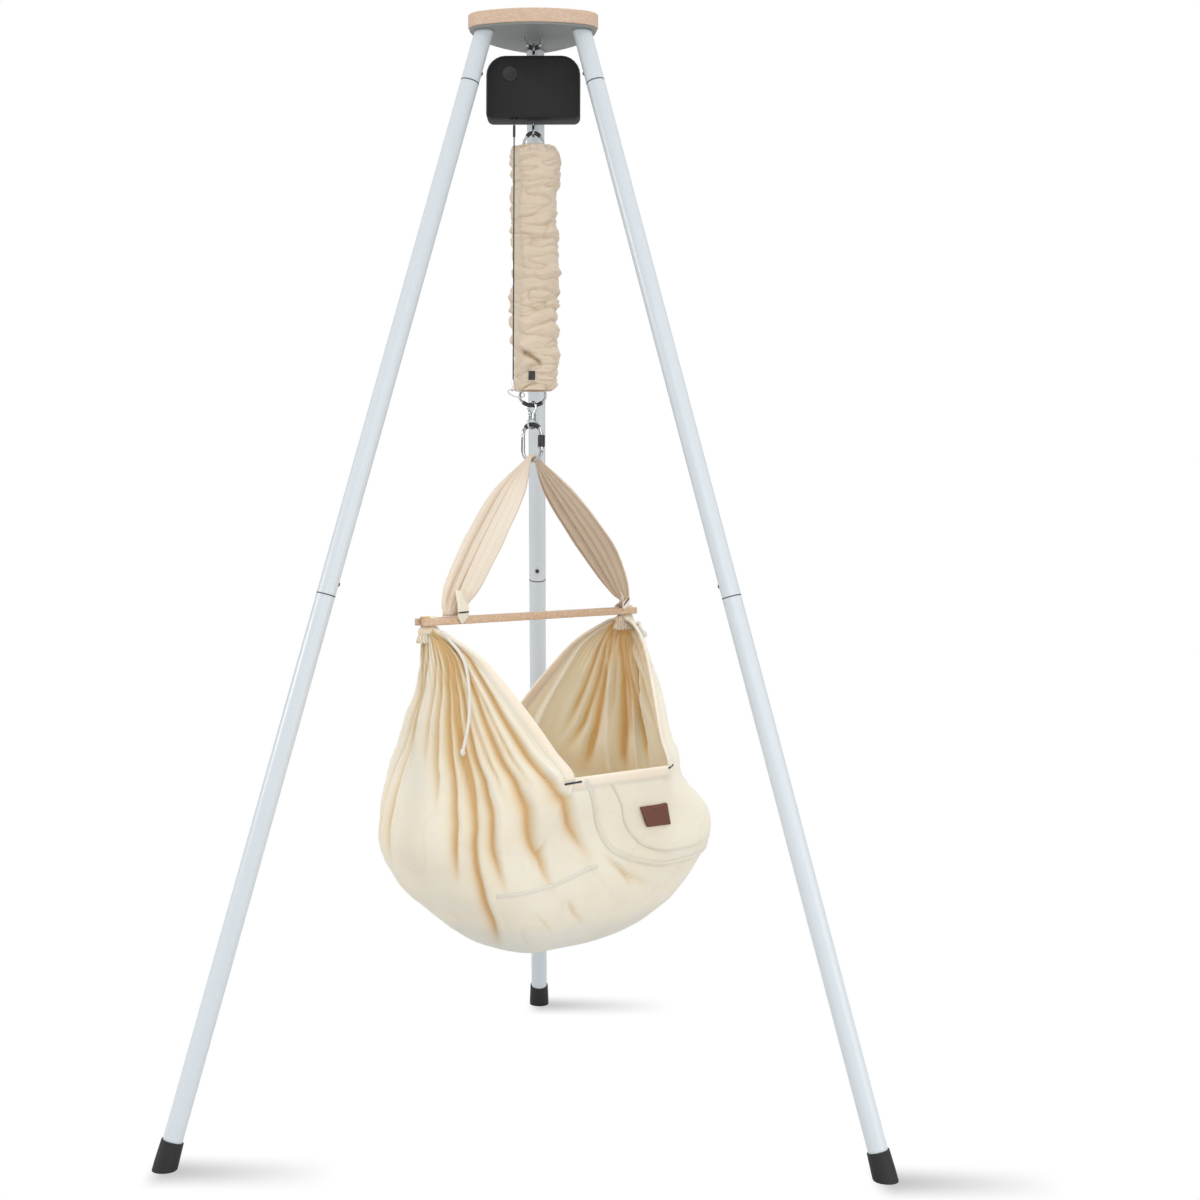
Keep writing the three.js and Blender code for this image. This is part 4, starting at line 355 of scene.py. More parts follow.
shadow = 0.0
for turn in LEG_TURNS.values():
    foot_x = LEG_FOOT * math.cos(turn) + AXIS.x
    foot_y = LEG_FOOT * math.sin(turn) + AXIS.y
    start = floor_range(split.outputs["X"], foot_x - SHADOW_LEFT, foot_x + SHADOW_EDGE)
    fade = floor_range(split.outputs["X"], foot_x + SHADOW_LENGTH, foot_x, SHADOW)
    far_side = floor_range(split.outputs["Y"], foot_y + SHADOW_FAR, foot_y - SHADOW_EDGE)
    near_side = floor_range(split.outputs["Y"], foot_y - SHADOW_NEAR, foot_y - SHADOW_EDGE)
    long_way = floor_math("MULTIPLY", start, fade)
    patch = floor_math("MULTIPLY", long_way, floor_math("MULTIPLY", far_side, near_side))
    shadow = floor_math("MAXIMUM", patch, shadow)
plain = shader_node(paint, "Emission", {
    "Color": (1, 1, 1, 1), "Strength": floor_math("SUBTRACT", 1.0, shadow)})
quiet = shader_node(paint, "BsdfDiffuse", {"Color": (0.62, 0.62, 0.62, 1)})
ray = shader_node(paint, "LightPath")
shown = shader_node(paint, "MixShader", {
    "Fac": ray.outputs["Is Camera Ray"], 1: quiet.outputs[0], 2: plain.outputs[0]})
shader_node(paint, "OutputMaterial", {"Surface": shown.outputs[0]})
floor.data.materials.append(floor_paint)

# Legs: three legs of two drawn steel tubes each, powder-coated in a cold white.
# The lower tube plugs into the upper one, and the upper one into the head socket.
COAT = (0.645, 0.69, 0.72)
coat = grained(
    "white powder coat", COAT, 0.34, grain=700, depth=0.00003,
    more={"Coat Weight": 0.25, "Coat Roughness": 0.2},
)


MERGE_WITHIN = 0.00002


def edit_mesh(piece, *steps):
    deselect()
    piece.select_set(True)
    bpy.context.view_layer.objects.active = piece
    bpy.ops.object.mode_set(mode="EDIT")
    bpy.ops.mesh.select_all(action="SELECT")
    for step in steps:
        step()
    bpy.ops.object.mode_set(mode="OBJECT")


def smoothed(node, name, material, angle=38, round_edge=0.0, own_body=True):
    part = frame["nodes"][node]
    copy = bpy.data.objects.new(name, part.data.copy())
    bpy.context.scene.collection.objects.link(copy)
    edit_mesh(
        copy, lambda: bpy.ops.mesh.remove_doubles(threshold=MERGE_WITHIN),
        lambda: bpy.ops.mesh.customdata_custom_splitnormals_clear(),
    )
    if round_edge:
        bevel = copy.modifiers.new("rounded edges", "BEVEL")
        bevel.width = round_edge
        bevel.segments = 3
        bevel.limit_method = "ANGLE"
        bevel.angle_limit = math.radians(angle)
        bpy.ops.object.modifier_apply(modifier=bevel.name)
    bpy.ops.object.shade_smooth_by_angle(angle=math.radians(angle))
    copy.data.materials.clear()
    copy.data.materials.append(material)
    if own_body:
        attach(copy, part["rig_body"])
    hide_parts(node)
    return copy


for leg in LEG_TURNS:
    smoothed(f"upper_leg_{leg}", f"upper_tube_{leg}", coat)
    smoothed(f"lower_leg_{leg}", f"lower_tube_{leg}", coat)

# Joint rings: thin dark rings of painted shade that fill the shadowed gap between tube
# and tube, and between tube and head socket, and show as one fine line round each leg.
# Painted shade: a near-black material that stands for the shadow in each joint's gap
gap_shade = grained("dark nylon", (0.075, 0.08, 0.085), 0.5, grain=500, depth=0.00005)
LEG_HEAD = 0.107
LEG_HEIGHT = 2.059
LEG_LEAN = math.atan2(LEG_FOOT - LEG_HEAD, LEG_HEIGHT)
HEAD_SOCKET = 0.1049
JOINTS = {"middle": 1.039, "head": math.hypot(LEG_FOOT - LEG_HEAD, LEG_HEIGHT) - HEAD_SOCKET}
RING_RADIUS = 0.01745
RING_THICKNESS = 0.0005
RING_STRETCH = 2.2
for joint, run in JOINTS.items():
    for leg, turn in LEG_TURNS.items():
        reach = LEG_FOOT - run * math.sin(LEG_LEAN)
        deselect()
        bpy.ops.mesh.primitive_torus_add(
            major_segments=48, minor_segments=8, major_radius=RING_RADIUS, minor_radius=RING_THICKNESS)
        ring = bpy.context.object
        ring.name = f"joint_ring_{joint}_{leg}"
        ring.scale = (1, 1, RING_STRETCH)
        bpy.ops.object.transform_apply(location=False, rotation=False, scale=True)
        ring.rotation_euler = (0, -LEG_LEAN, turn)
        ring.location = (
            AXIS.x + reach * math.cos(turn), AXIS.y + reach * math.sin(turn), run * math.cos(LEG_LEAN))
        bpy.ops.object.transform_apply(location=True, rotation=True, scale=True)
        bpy.ops.object.shade_smooth()
        ring.data.materials.append(gap_shade)
        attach(ring, frame["nodes"][f"upper_leg_{leg}"]["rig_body"])

# Snap buttons and leaves: zinc-plated spring leaves inside the tubes push small
# rounded buttons out through the tubes' holes, at each joint of each leg.
zinc = grained("zinc plate", (0.42, 0.43, 0.45), 0.32, grain=260, depth=0.00006, metallic=1.0)
dark_button = grained("dark button", (0.035, 0.036, 0.04), 0.4, grain=500, depth=0.00005)
for joint in JOINTS:
    for leg, turn in LEG_TURNS.items():
        leaf = smoothed(
            f"snap_leaf_{joint}_{leg}", f"leaf_{joint}_{leg}", zinc, own_body=False)
        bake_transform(leaf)
        smoothed(f"snap_button_{joint}_{leg}", f"button_{joint}_{leg}", dark_button)

# Feet: moulded black rubber caps pushed over the lower tubes, with a worn matt
# surface and flat soles that stand on the floor.
rubber = grained("black rubber", (0.012, 0.012, 0.012), 0.62, grain=420, depth=0.0004)
for leg in LEG_TURNS:
    smoothed(f"foot_{leg}", f"rubber_foot_{leg}", rubber)

# Wooden top: an oiled beech plate with rounded corners, cut across the grain so
# that its edge shows short pores and pale rays, screwed to the steel plate.
PLANED_EDGE = 0.0012
PORE_DEPTH = 0.0002


def two_tones(tree, value, low, dark, high, light):
    ramp = shader_node(tree, "ValToRGB", {"Fac": value})
    for spot, position, colour in zip(ramp.color_ramp.elements, (low, high), (dark, light)):
        spot.position = position
        spot.color = (*colour, 1)
    return ramp.outputs["Color"]


def beech_wood(name, roughness, stretch, light, dark, pores):
    material, tree, shader = principled(name, (0.72, 0.52, 0.36), roughness)
    place = shader_node(tree, "TexCoord").outputs["Object"]
    sizes = shader_node(tree, "Mapping", {"Scale": stretch, "Vector": place}).outputs["Vector"]
    rings = shader_node(tree, "TexNoise", {"Scale": 6, "Detail": 5, "Distortion": 0.6, "Vector": sizes})
    flecks = shader_node(tree, "TexNoise", {"Scale": 42, "Detail": 2, "Vector": sizes})
    spots = two_tones(tree, flecks.outputs["Fac"], 0.58, (0, 0, 0), 0.72, (1, 1, 1))
    strength = shader_node(tree, "Math", {0: spots, 1: pores}, operation="MULTIPLY")
    mixed = shader_node(tree, "Mix", {
        "Factor": strength.outputs[0],
        "A": two_tones(tree, rings.outputs["Fac"], 0.36, dark, 0.62, light),
        "B": (*(0.55 * np.array(dark)), 1),
    }, data_type="RGBA")
    tree.links.new(mixed.outputs["Result"], shader.inputs["Base Color"])
    bumpy(tree, shader, flecks.outputs["Fac"], PORE_DEPTH, 0.5)
    return material


beech = beech_wood("oiled beech", 0.48, (14, 90, 90), (0.74, 0.545, 0.405), (0.61, 0.42, 0.295), pores=0.45)
smoothed("wooden_top_plate", "beech_plate", beech, 30, PLANED_EDGE)

# Head plate: pressed steel with a turned-down lip and three welded leg sockets, in
# the legs' white coat with painted shade above the sockets; three screws hold the wood to it.
LIP_HEIGHT = 2.0550
PLATE_HEIGHT = 2.0585
steel_coat = grained("head coat", COAT, 0.4, grain=300, depth=0.00005)
tree = steel_coat.node_tree
split = shader_node(tree, "SeparateXYZ", {0: shader_node(tree, "TexCoord").outputs["Object"]})
# Painted shade: from the sockets' tops upwards the coat is mixed to dark grey, for the shade under the plate
height = shader_node(tree, "MapRange", {
    "From Min": LIP_HEIGHT, "From Max": PLATE_HEIGHT, "Value": split.outputs["Z"]})
coat_and_painted_shade = shader_node(tree, "Mix", {
    "A": (*COAT, 1), "B": (0.24, 0.25, 0.235, 1), "Factor": height.outputs["Result"],
}, data_type="RGBA")
tree.links.new(coat_and_painted_shade.outputs["Result"], tree.nodes["Principled BSDF"].inputs["Base Color"])
smoothed("head_plate", "steel_head", steel_coat, 35)
for leg in LEG_TURNS:
    smoothed(f"plate_screw_{leg}", f"wood_screw_{leg}", zinc)

# Hanger: a polished steel U-bolt through the head plate, with a short black
# sleeve where the motor's eye bears on it.
chrome = grained("bright steel", (0.58, 0.59, 0.61), 0.16, grain=90, depth=0.00003, metallic=1.0)
black = grained("black plastic", (0.022, 0.022, 0.024), 0.38, grain=650, depth=0.00008)
smoothed("hanger_u_bolt", "u_bolt", chrome)
smoothed("hanger_sleeve", "u_bolt_sleeve", black)

# Motor: two moulded half-shells in charcoal with a fine spark-eroded grain, a
# push button, and inside a steel chassis, a geared motor, a drum and a board.
shell = grained(
    "charcoal shell", (0.0095, 0.0095, 0.0105), 0.55, grain=1500, depth=0.00012, detail=4.0,
    more={"Specular IOR Level": 0.32},
)
knob = grained("button cap", (0.005, 0.005, 0.0055), 0.32, grain=600, depth=0.00004)
green_board = grained("circuit board", (0.02, 0.14, 0.06), 0.4, grain=300, depth=0.0001)
smoothed("motor_front_cover", "front_shell", shell, 32)
smoothed("motor_back_cover", "back_shell", shell, 32)
smoothed("motor_button", "push_button", knob, 35, 0.0006)
smoothed("motor_chassis", "chassis", zinc)
smoothed("gear_motor", "geared_motor", zinc)
smoothed("cord_drum", "drum", black)
smoothed("circuit_board", "control_board", green_board)
smoothed("mains_inlet", "inlet", black)
smoothed("motor_top_eye", "top_eye", chrome)
smoothed("motor_lower_eye", "lower_eye", chrome)

# Spring: a close-wound steel tension spring with open hooks at both ends, black
# plastic sleeves on the hooks, and a cotton cover that hides the coil.
COIL_TOP = 1.8301
COIL_BOTTOM = 1.3801
spring_steel = grained(
    "bright spring steel", (0.50, 0.51, 0.52), 0.24, grain=180, depth=0.00004, metallic=1.0)
coil = smoothed("tension_spring", "coil_spring", spring_steel, 80, own_body=False)
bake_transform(coil)
smoothed("upper_hook_sleeve", "upper_sleeve", black, 50)
smoothed("lower_hook_sleeve", "lower_sleeve", black, 50)

# Drive cord: a thin dark braided cord from the motor's drum, with a crimped
# ferrule below the motor and a small wire hook and ring at its lower end.
braid = grained("dark braided cord", (0.045, 0.045, 0.05), 0.5, grain=1200, depth=0.0002, metallic=0.3)
cord = smoothed("drive_cord", "braided_cord", braid, 60, own_body=False)
housed_cord = bpy.data.objects.new("cord_in_housing", cord.data.copy())
bpy.context.scene.collection.objects.link(housed_cord)
CORD_CUT = 1.900
for piece, housed in ((cord, False), (housed_cord, True)):
    edit_mesh(piece, lambda: bpy.ops.mesh.bisect(
        plane_co=(0, 0, CORD_CUT), plane_no=(0, 0, 1), use_fill=True,
        clear_inner=housed, clear_outer=not housed,
    ))
cord_low, cord_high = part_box("drive_cord")
cord_x, cord_y = (cord_low[0] + cord_high[0]) / 2, (cord_low[1] + cord_high[1]) / 2
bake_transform(cord)
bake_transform(housed_cord)
smoothed("cord_hook", "small_hook", chrome, 50)
smoothed("cord_ring", "small_ring", chrome, 70)
smoothed("cord_stopper", "barrel_stopper", black, 35, 0.0008)

# Cotton: unbleached, softly woven cloth. Its folds and its inside get a painted golden shade,
# for the light that comes through the cloth there and is thrown from fold to fold.
CREAM = (0.850, 0.765, 0.645)
FOLD_SHADE_GOLD = (0.660, 0.440, 0.225)


def cotton(name, light=CREAM, deep=FOLD_SHADE_GOLD, weave=0.00016, glow=0.55):
    material, tree, shader = principled(name, light, 0.88, more={
        "Sheen Weight": 0.12, "Sheen Roughness": 0.5, "Specular IOR Level": 0.2,
        "Subsurface Weight": glow, "Subsurface Radius": (1.0, 0.68, 0.40), "Subsurface Scale": 0.009,
    })
    place = shader_node(tree, "TexCoord").outputs["Object"]
    cloud = shader_node(tree, "TexNoise", {"Scale": 9, "Detail": 3, "Vector": place})
    patchy = shader_node(tree, "MapRange", {
        "From Min": 0.35, "From Max": 0.7, "To Min": 0, "To Max": 0.10, "Value": cloud.outputs["Fac"]})
    # Painted shade: the fold attribute mixes the base colour towards the shade colour
    depth = shader_node(tree, "Attribute", attribute_name="fold")
    total = shader_node(tree, "Math", {
        0: depth.outputs["Fac"], 1: patchy.outputs["Result"],
    }, operation="ADD", use_clamp=True)
    mixed = shader_node(tree, "Mix", {
        "A": (*light, 1), "B": (*deep, 1), "Factor": total.outputs[0],
    }, data_type="RGBA")
    flecks = shader_node(tree, "TexNoise", {"Scale": 520, "Detail": 2, "Vector": place})
    seeds = shader_node(tree, "MapRange", {
        "From Min": 0.70, "From Max": 0.78, "To Max": 0.5, "Value": flecks.outputs["Fac"]})
    speckled = shader_node(tree, "Mix", {
        "A": mixed.outputs["Result"], "B": (0.35, 0.22, 0.11, 1), "Factor": seeds.outputs["Result"],
    }, data_type="RGBA")
    tree.links.new(speckled.outputs["Result"], shader.inputs["Base Color"])
    threads = shader_node(tree, "TexNoise", {"Scale": 800, "Detail": 2, "Vector": place})
    bumpy(tree, shader, threads.outputs["Fac"], weave, 0.6)
    return material


cloth = cotton("unbleached cotton")
# Painted shade: the strap's cotton is a darker copy of the cloth, for the shade the strap hangs in
shaded_strap_cloth = cotton("strap cotton", (0.815, 0.715, 0.590), (0.500, 0.340, 0.215), 0.00006, 0.0)
sleeve_cloth = cotton("sleeve cotton", (0.720, 0.602, 0.470), (0.430, 0.300, 0.175), 0.00022, 0.25)

# Spring cover: a gathered cotton sleeve with elastic in both mouths, pushed
# together on the spring, so it lies in many soft rings of wrinkles.
COVER_TOP = COIL_TOP + 0.017
COVER_LOW = COIL_BOTTOM - 0.002
COVER_ROWS = 280
COVER_SIDES = 150
COVER_BACK = 0.008
COVER_SIDE = 0.004
COVER_RADIUS = 0.0345
COVER_BELLY = 0.0078
COVER_HEAD = 0.0040
MOUTH_DRAW = 0.0085


# Sets each point's painted fold shade, stored in the fold attribute
def set_fold_shade(piece, values):
    layer = piece.data.attributes.new("fold", "FLOAT", "POINT")
    layer.data.foreach_set("value", np.asarray(values, np.float32))


def creases(points, scale, seed):
    moved = np.asarray(points) * np.asarray(scale) + seed
    return np.array([noise.noise(Vector(p)) for p in moved])


def smoothstep(x, low, high):
    s = np.clip((np.asarray(x, float) - low) / (high - low), 0, 1)
    return s * s * (3 - 2 * s)


def hill(x, middle, width):
    return np.exp(-(((x - middle) / width) ** 2))


# Wrinkles of the cover: how far the cloth stands out and how deep in a fold it lies, which sets its painted
# shade
def cover_wrinkles(share, t, z):
    around = np.stack([np.cos(t), np.sin(t), z], -1).reshape(-1, 3)
    warp = creases(around, (1.4, 1.4, 12), 3.1)
    height = around[:, 2] + 0.0075 * warp + 0.004 * np.cos(around[:, 0] * 2 + 1)
    level = np.stack([around[:, 0], around[:, 1], height], -1)
    large = np.abs(creases(level, (0.55, 0.55, 46), 11.7)).reshape(z.shape)
    small = np.abs(creases(level, (0.9, 0.9, 110), 5.3)).reshape(z.shape)
    tiny = np.abs(creases(level, (2.4, 2.4, 240), 8.9)).reshape(z.shape)
    dense = smoothstep(share, 0.78, 0.92)
    band = hill(share, 0.66, 0.05) + hill(share, 0.36, 0.04) + smoothstep(share, 0.12, 0.03)
    busy = np.clip(0.35 + 0.65 * band + dense, 0, 1)
    # The drive cord presses the cloth flat where it runs down along the cover
    cord_turn = math.atan2(cord_y - AXIS.y - COVER_BACK, cord_x - AXIS.x)
    press = hill((t - cord_turn + np.pi) % (2 * np.pi) - np.pi, 0, 0.30)
    puff = 0.0105 * large**0.8 * (1 - 0.55 * dense) + busy * (0.0070 * small**0.75 + 0.0022 * tiny)
    puff = puff * (1 - 0.75 * press) - 0.0035 * press
    fold = np.exp(-large / 0.03) * 0.40 * (1 - dense) + busy * np.exp(-small / 0.05) * 0.42 + 0.02
    # One deep fold runs slanting down to the cord's stopper, with painted shade along it
    turned = (t + np.pi) % (2 * np.pi) - np.pi
    along_fold = np.clip((turned + 2.25) / 0.95, 0, 1)
    off_fold = share - 0.158 + 0.052 * along_fold**1.5
    there = smoothstep(turned, -2.32, -2.05) * smoothstep(turned, -1.22, -1.42)
    puff = puff + there * (0.0045 * hill(off_fold, 0.024, 0.014) - 0.0050 * hill(off_fold, 0, 0.009))
    return puff, fold + 1.1 * there * hill(off_fold, 0, 0.010)


def spring_cover():
    turn = np.linspace(0, 2 * np.pi, COVER_SIDES, endpoint=False)
    z, t = np.meshgrid(np.linspace(COVER_LOW, COVER_TOP, COVER_ROWS), turn, indexing="ij")
    share = (z - COVER_LOW) / (COVER_TOP - COVER_LOW)
    radius = COVER_RADIUS + COVER_BELLY * smoothstep(share, 0.0, 0.13)
    radius = radius + 0.0022 * np.sin(9 * share + 0.7) * np.cos(t + 4 * share)
    radius += COVER_HEAD * smoothstep(share, 0.84, 0.93) - MOUTH_DRAW * smoothstep(share, 0.97, 1.0)
    puff, fold = cover_wrinkles(share, t, z)
    rim = 0.0024 * np.cos(17 * t + 2 * np.sin(3 * t)) * smoothstep(share, 0.94, 1.0)
    radius = radius + puff + rim - 0.002
    back = COVER_BACK * smoothstep(share, 0, 0.13)
    side = COVER_SIDE * smoothstep(share, 0, 0.13) * smoothstep(share, 1, 0.9)
    outer = np.stack([
        AXIS.x + side + radius * np.cos(t) + 0.0022 * np.sin(5 * share * np.pi),
        AXIS.y + radius * np.sin(t) + back, z,
    ], -1)
    rows, folds = [outer], [fold]
    centre = np.array([AXIS.x, AXIS.y + COVER_BACK, 0])
    # Painted shade: the rows that turn in at the mouths, and the lining, are mixed far towards the shade
    # colour
    upper_mouth = ((0.0025, 0.05), (0.003, 0.12), (0.0, 0.2), (-0.012, 0.28), (-0.03, 0.3), (-0.06, 0.3))
    for lift, pull in upper_mouth:
        ring = outer[-1] + (centre - outer[-1]) * np.array([pull, pull, 0]) + np.array([0, 0, lift])
        rows.append(ring[None])
        folds.append(np.full((1, COVER_SIDES), 0.25 if lift > 0 else 0.8))
    lining = (
        # height, pull towards the coil
        (COVER_TOP - 0.2, 0.36), (COVER_LOW + 0.03, 0.22),
        (COVER_LOW + 0.004, 0.16), (COVER_LOW + 0.001, 0.08),
    )
    for height, pull in lining:
        ring = outer[0] + (np.array([AXIS.x, AXIS.y, 0]) - outer[0]) * np.array([pull, pull, 0])
        ring[:, 2] = height
        rows.append(ring[None])
        folds.append(np.full((1, COVER_SIDES), 0.8))
    grid = np.concatenate(rows)
    faces = grid_faces(len(grid), COVER_SIDES)
    last = (len(grid) - 1) * COVER_SIDES
    faces += [(last + k, last + (k + 1) % COVER_SIDES, (k + 1) % COVER_SIDES, k) for k in range(COVER_SIDES)]
    piece = mesh_piece("cotton_sleeve", grid.reshape(-1, 3), faces, sleeve_cloth)
    set_fold_shade(piece, np.clip(np.concatenate(folds).ravel(), 0, 1))
    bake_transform(piece)
    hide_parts("spring_cover")


spring_cover()

# Swivel: two bright steel eyes joined by a short barrel, so the hammock can
# turn below the spring without twisting it.
smoothed("swivel_upper_eye", "upper_eye", chrome, 60)
smoothed("swivel_lower_eye", "turning_eye", chrome, 60)

# Carabiner: a bright steel snap hook with a hinged gate, a sliding lock sleeve
# and a black plastic sleeve on its upper bow.
smoothed("carabiner_body", "snap_hook", chrome, 60)
smoothed("carabiner_gate", "snap_gate", chrome, 45)
smoothed("carabiner_lock_sleeve", "lock_sleeve", black, 40, 0.0006)
smoothed("carabiner_sleeve", "bow_sleeve", black, 50)

# Bar: a planed beech slat with rounded corners and a slot sawn into each end,
# through which the gathered cloth and the strap are pulled.
slat = beech_wood("beech slat", 0.5, (26, 26, 60), (0.70, 0.50, 0.34), (0.56, 0.36, 0.22), pores=0.3)
smoothed("hanging_bar", "beech_bar", slat, 30, PLANED_EDGE)

# Strap: one wide doubled band of cotton, hemmed along both edges, laid over the
# carabiner's lower bow and drawn in at both ends, where it runs into the slots.
STRAP_ROWS = 110
STRAP_COLUMNS = 56
STRAP_STATIONS = (
    # along, height, half width, thickness, pleat, turn
    (0.0000, 0.3081, 0.0055, 0.0090, 0.0000, 0.000),
    (0.0028, 0.3078, 0.0055, 0.0090, 0.0000, 0.000),
    (0.0054, 0.3068, 0.0058, 0.0090, 0.0000, 0.000),
    (0.0080, 0.3046, 0.0070, 0.0090, 0.0000, 0.000),
    (0.0215, 0.2900, 0.0140, 0.0085, 0.0008, 0.000),
    (0.0420, 0.2660, 0.0290, 0.0070, 0.0022, 0.000),
    (0.0700, 0.2330, 0.0440, 0.0045, 0.0040, 0.000),
    (0.1010, 0.1930, 0.0500, 0.0030, 0.0050, 0.010),
    (0.1340, 0.1490, 0.0500, 0.0026, 0.0050, 0.050),
    (0.1660, 0.1040, 0.0440, 0.0026, 0.0050, 0.130),
    (0.1950, 0.0620, 0.0360, 0.0032, 0.0042, 0.300),
    (0.2160, 0.0300, 0.0250, 0.0052, 0.0022, 0.650),
    (0.2260, 0.0130, 0.0200, 0.0080, 0.0006, 1.000),
    (0.2270, 0.0085, 0.0200, 0.0080, 0.0000, 1.000),
)
STRAP_SPREAD = {-1: 0.90, 1: 1.08}
# The right half hangs slacker: wider, less turned and a little further out
SLACK_WIDTH = 0.24
SLACK_TURN = 0.75
SLACK_OUT = 0.013


def even_curve(xs, table, wanted):
    xs = np.asarray(xs, float)
    table = np.asarray(table, float)
    gap = np.diff(xs)
    slope = np.diff(table, axis=0) / gap[:, None]
    ends = np.zeros_like(table)
    same = slope[:-1] * slope[1:] > 0
    ends[1:-1] = np.where(same, 2 * slope[:-1] * slope[1:] / np.where(same, slope[:-1] + slope[1:], 1), 0)
    ends[0], ends[-1] = slope[0], slope[-1]
    wanted = np.asarray(wanted, float)
    k = np.clip(np.searchsorted(xs, wanted, side="right") - 1, 0, len(xs) - 2)
    s = ((wanted - xs[k]) / gap[k])[:, None]
    return curve_between(s, gap[k][:, None], table[k], table[k + 1], ends[k], ends[k + 1])


def strap_band():
    table = np.array(STRAP_STATIONS)
    step = np.hypot(np.diff(table[:, 0]), np.diff(table[:, 1]))
    run = np.concatenate([[0], np.cumsum(step)])
    right = even_curve(run, table, np.linspace(0, run[-1], STRAP_ROWS // 2))
    left = right[:0:-1].copy()
    left[:, 0] *= -STRAP_SPREAD[-1]
    right[:, 0] *= STRAP_SPREAD[1]
    slack = smoothstep(right[:, 1], 0.25, 0.10) * smoothstep(right[:, 1], 0.006, 0.03)
    right[:, 2] *= 1 + SLACK_WIDTH * slack
    right[:, 5] *= 1 - SLACK_TURN * slack
    right[:, 0] += SLACK_OUT * slack
    rows = np.concatenate([left, right])
    side = np.concatenate([-np.ones(len(left)), np.ones(len(right))])
    along = np.gradient(rows[:, :2], axis=0)
    along /= np.linalg.norm(along, axis=1)[:, None]
    share = np.linspace(-1, 1, STRAP_COLUMNS)
    rings, fold = [], []
    for (x, z, half, thick, pleat, twist), s, (run_x, run_z) in zip(rows, side, along):
        slope = twist * np.pi / 2
        across = np.array([s * np.sin(slope), np.cos(slope), 0])
        turned = np.array([s * np.cos(slope) * abs(run_z), -np.sin(slope), np.cos(slope) * run_x])
        out = turned / np.linalg.norm(turned)
        bent = share * (1 + 0.05 * np.sin(5 * share))
        wave = np.cos(2 * np.pi * (2.1 * bent + 0.18 * np.sin(3 * share) + 0.12))
        fine = np.cos(2 * np.pi * (5.3 * bent + 0.4) + 2.4 * s)
        folded = 0.10 + 0.90 * smoothstep(share, -0.35, 0.10)
        lift = pleat * folded * (0.62 * np.sign(wave) * np.abs(wave) ** 0.75 + 0.30 * fine)
        flat = min(pleat / 0.0042, 1)
        body = thick / 2 * (flat + (1 - flat) * (1 - (0.97 * share) ** 2))
        edge = 1 + 0.55 * flat * hill(np.abs(share), 0.93, 0.05)
        place = np.array([x, 0, z]) + share[:, None] * half * across
        top = place + (lift + body * edge)[:, None] * out
        under = place + (lift - body * edge)[:, None] * out
        rings.append(np.concatenate([top, under[::-1]]))
        # Painted shade: valleys of the strap's pleats get shade, and its underside gets painted shade all
        # over
        dip = folded * np.clip(-wave - 0.3 * fine, 0, 1) ** 2 * 0.75 * flat + 0.05 + 0.30 * (1 - flat)
        fold.append(np.concatenate([dip, 0.4 + 0.3 * np.clip(wave[::-1], 0, 1)]))
    points, faces = skin(rings, flipped=True)
    piece = mesh_piece("carrying_strap", from_hammock(points), faces, shaded_strap_cloth)
    set_fold_shade(piece, np.clip(np.concatenate([*fold, [0.5, 0.5]]), 0, 1))
    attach(piece, "hammock")
    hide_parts("hanging_strap")
    return piece


strap = strap_band()

# Tub: one large cloth sewn to two shorter side panels. Its ends are gathered into
# the bar's slots, so long pleats run down from both gathers and die out below.
TUB_DEPTH = 0.642
HALF_LENGTH = 0.342
HALF_WIDTH = 0.172
CLOTH_THICK = 0.0022
END_COLUMNS = 156
PANEL_COLUMNS = 60
BOWL_ROWS = 62
FAN_ROWS = 54
RIM = 0.572
TOP = 1.0159
HEM_WIDTH = 0.022
RIGHT_END = (
    # rise, corner along, near side, far side, end along, along power, across power
    (0, 0.003, 0.003, 0.003, 0.009, 0.9, 0.9),
    (0.029, 0.170, 0.53, 0.34, 0.330, 0.85, 0.9),
    (0.078, 0.272, 0.84, 0.60, 0.598, 0.8, 0.88),
    (0.156, 0.38, 1.08, 0.81, 0.848, 0.74, 0.8),
    (0.254, 0.453, 1.18, 0.93, 0.98, 0.66, 0.74),
    (0.38, 0.48, 1.23, 1, 1.029, 0.6, 0.7),
    (0.572, 0.374, 1.41, 1.34, 0.921, 1.5, 1.5),
    (0.647, 0.404, 1.24, 1.22, 0.901, 1.6, 1.6),
    (0.72, 0.459, 1.07, 1.07, 0.883, 1.6, 1.6),
    (0.814, 0.538, 0.83, 0.83, 0.857, 1.6, 1.6),
    (0.901, 0.617, 0.57, 0.57, 0.83, 1.5, 1.5),
    (0.963, 0.696, 0.23, 0.23, 0.81, 1.2, 1.2),
    (0.988, 0.7135, 0.0302, 0.0302, 0.8129, 1, 1),
    (1.0159, 0.7135, 0.0302, 0.0302, 0.8129, 1, 1),
)
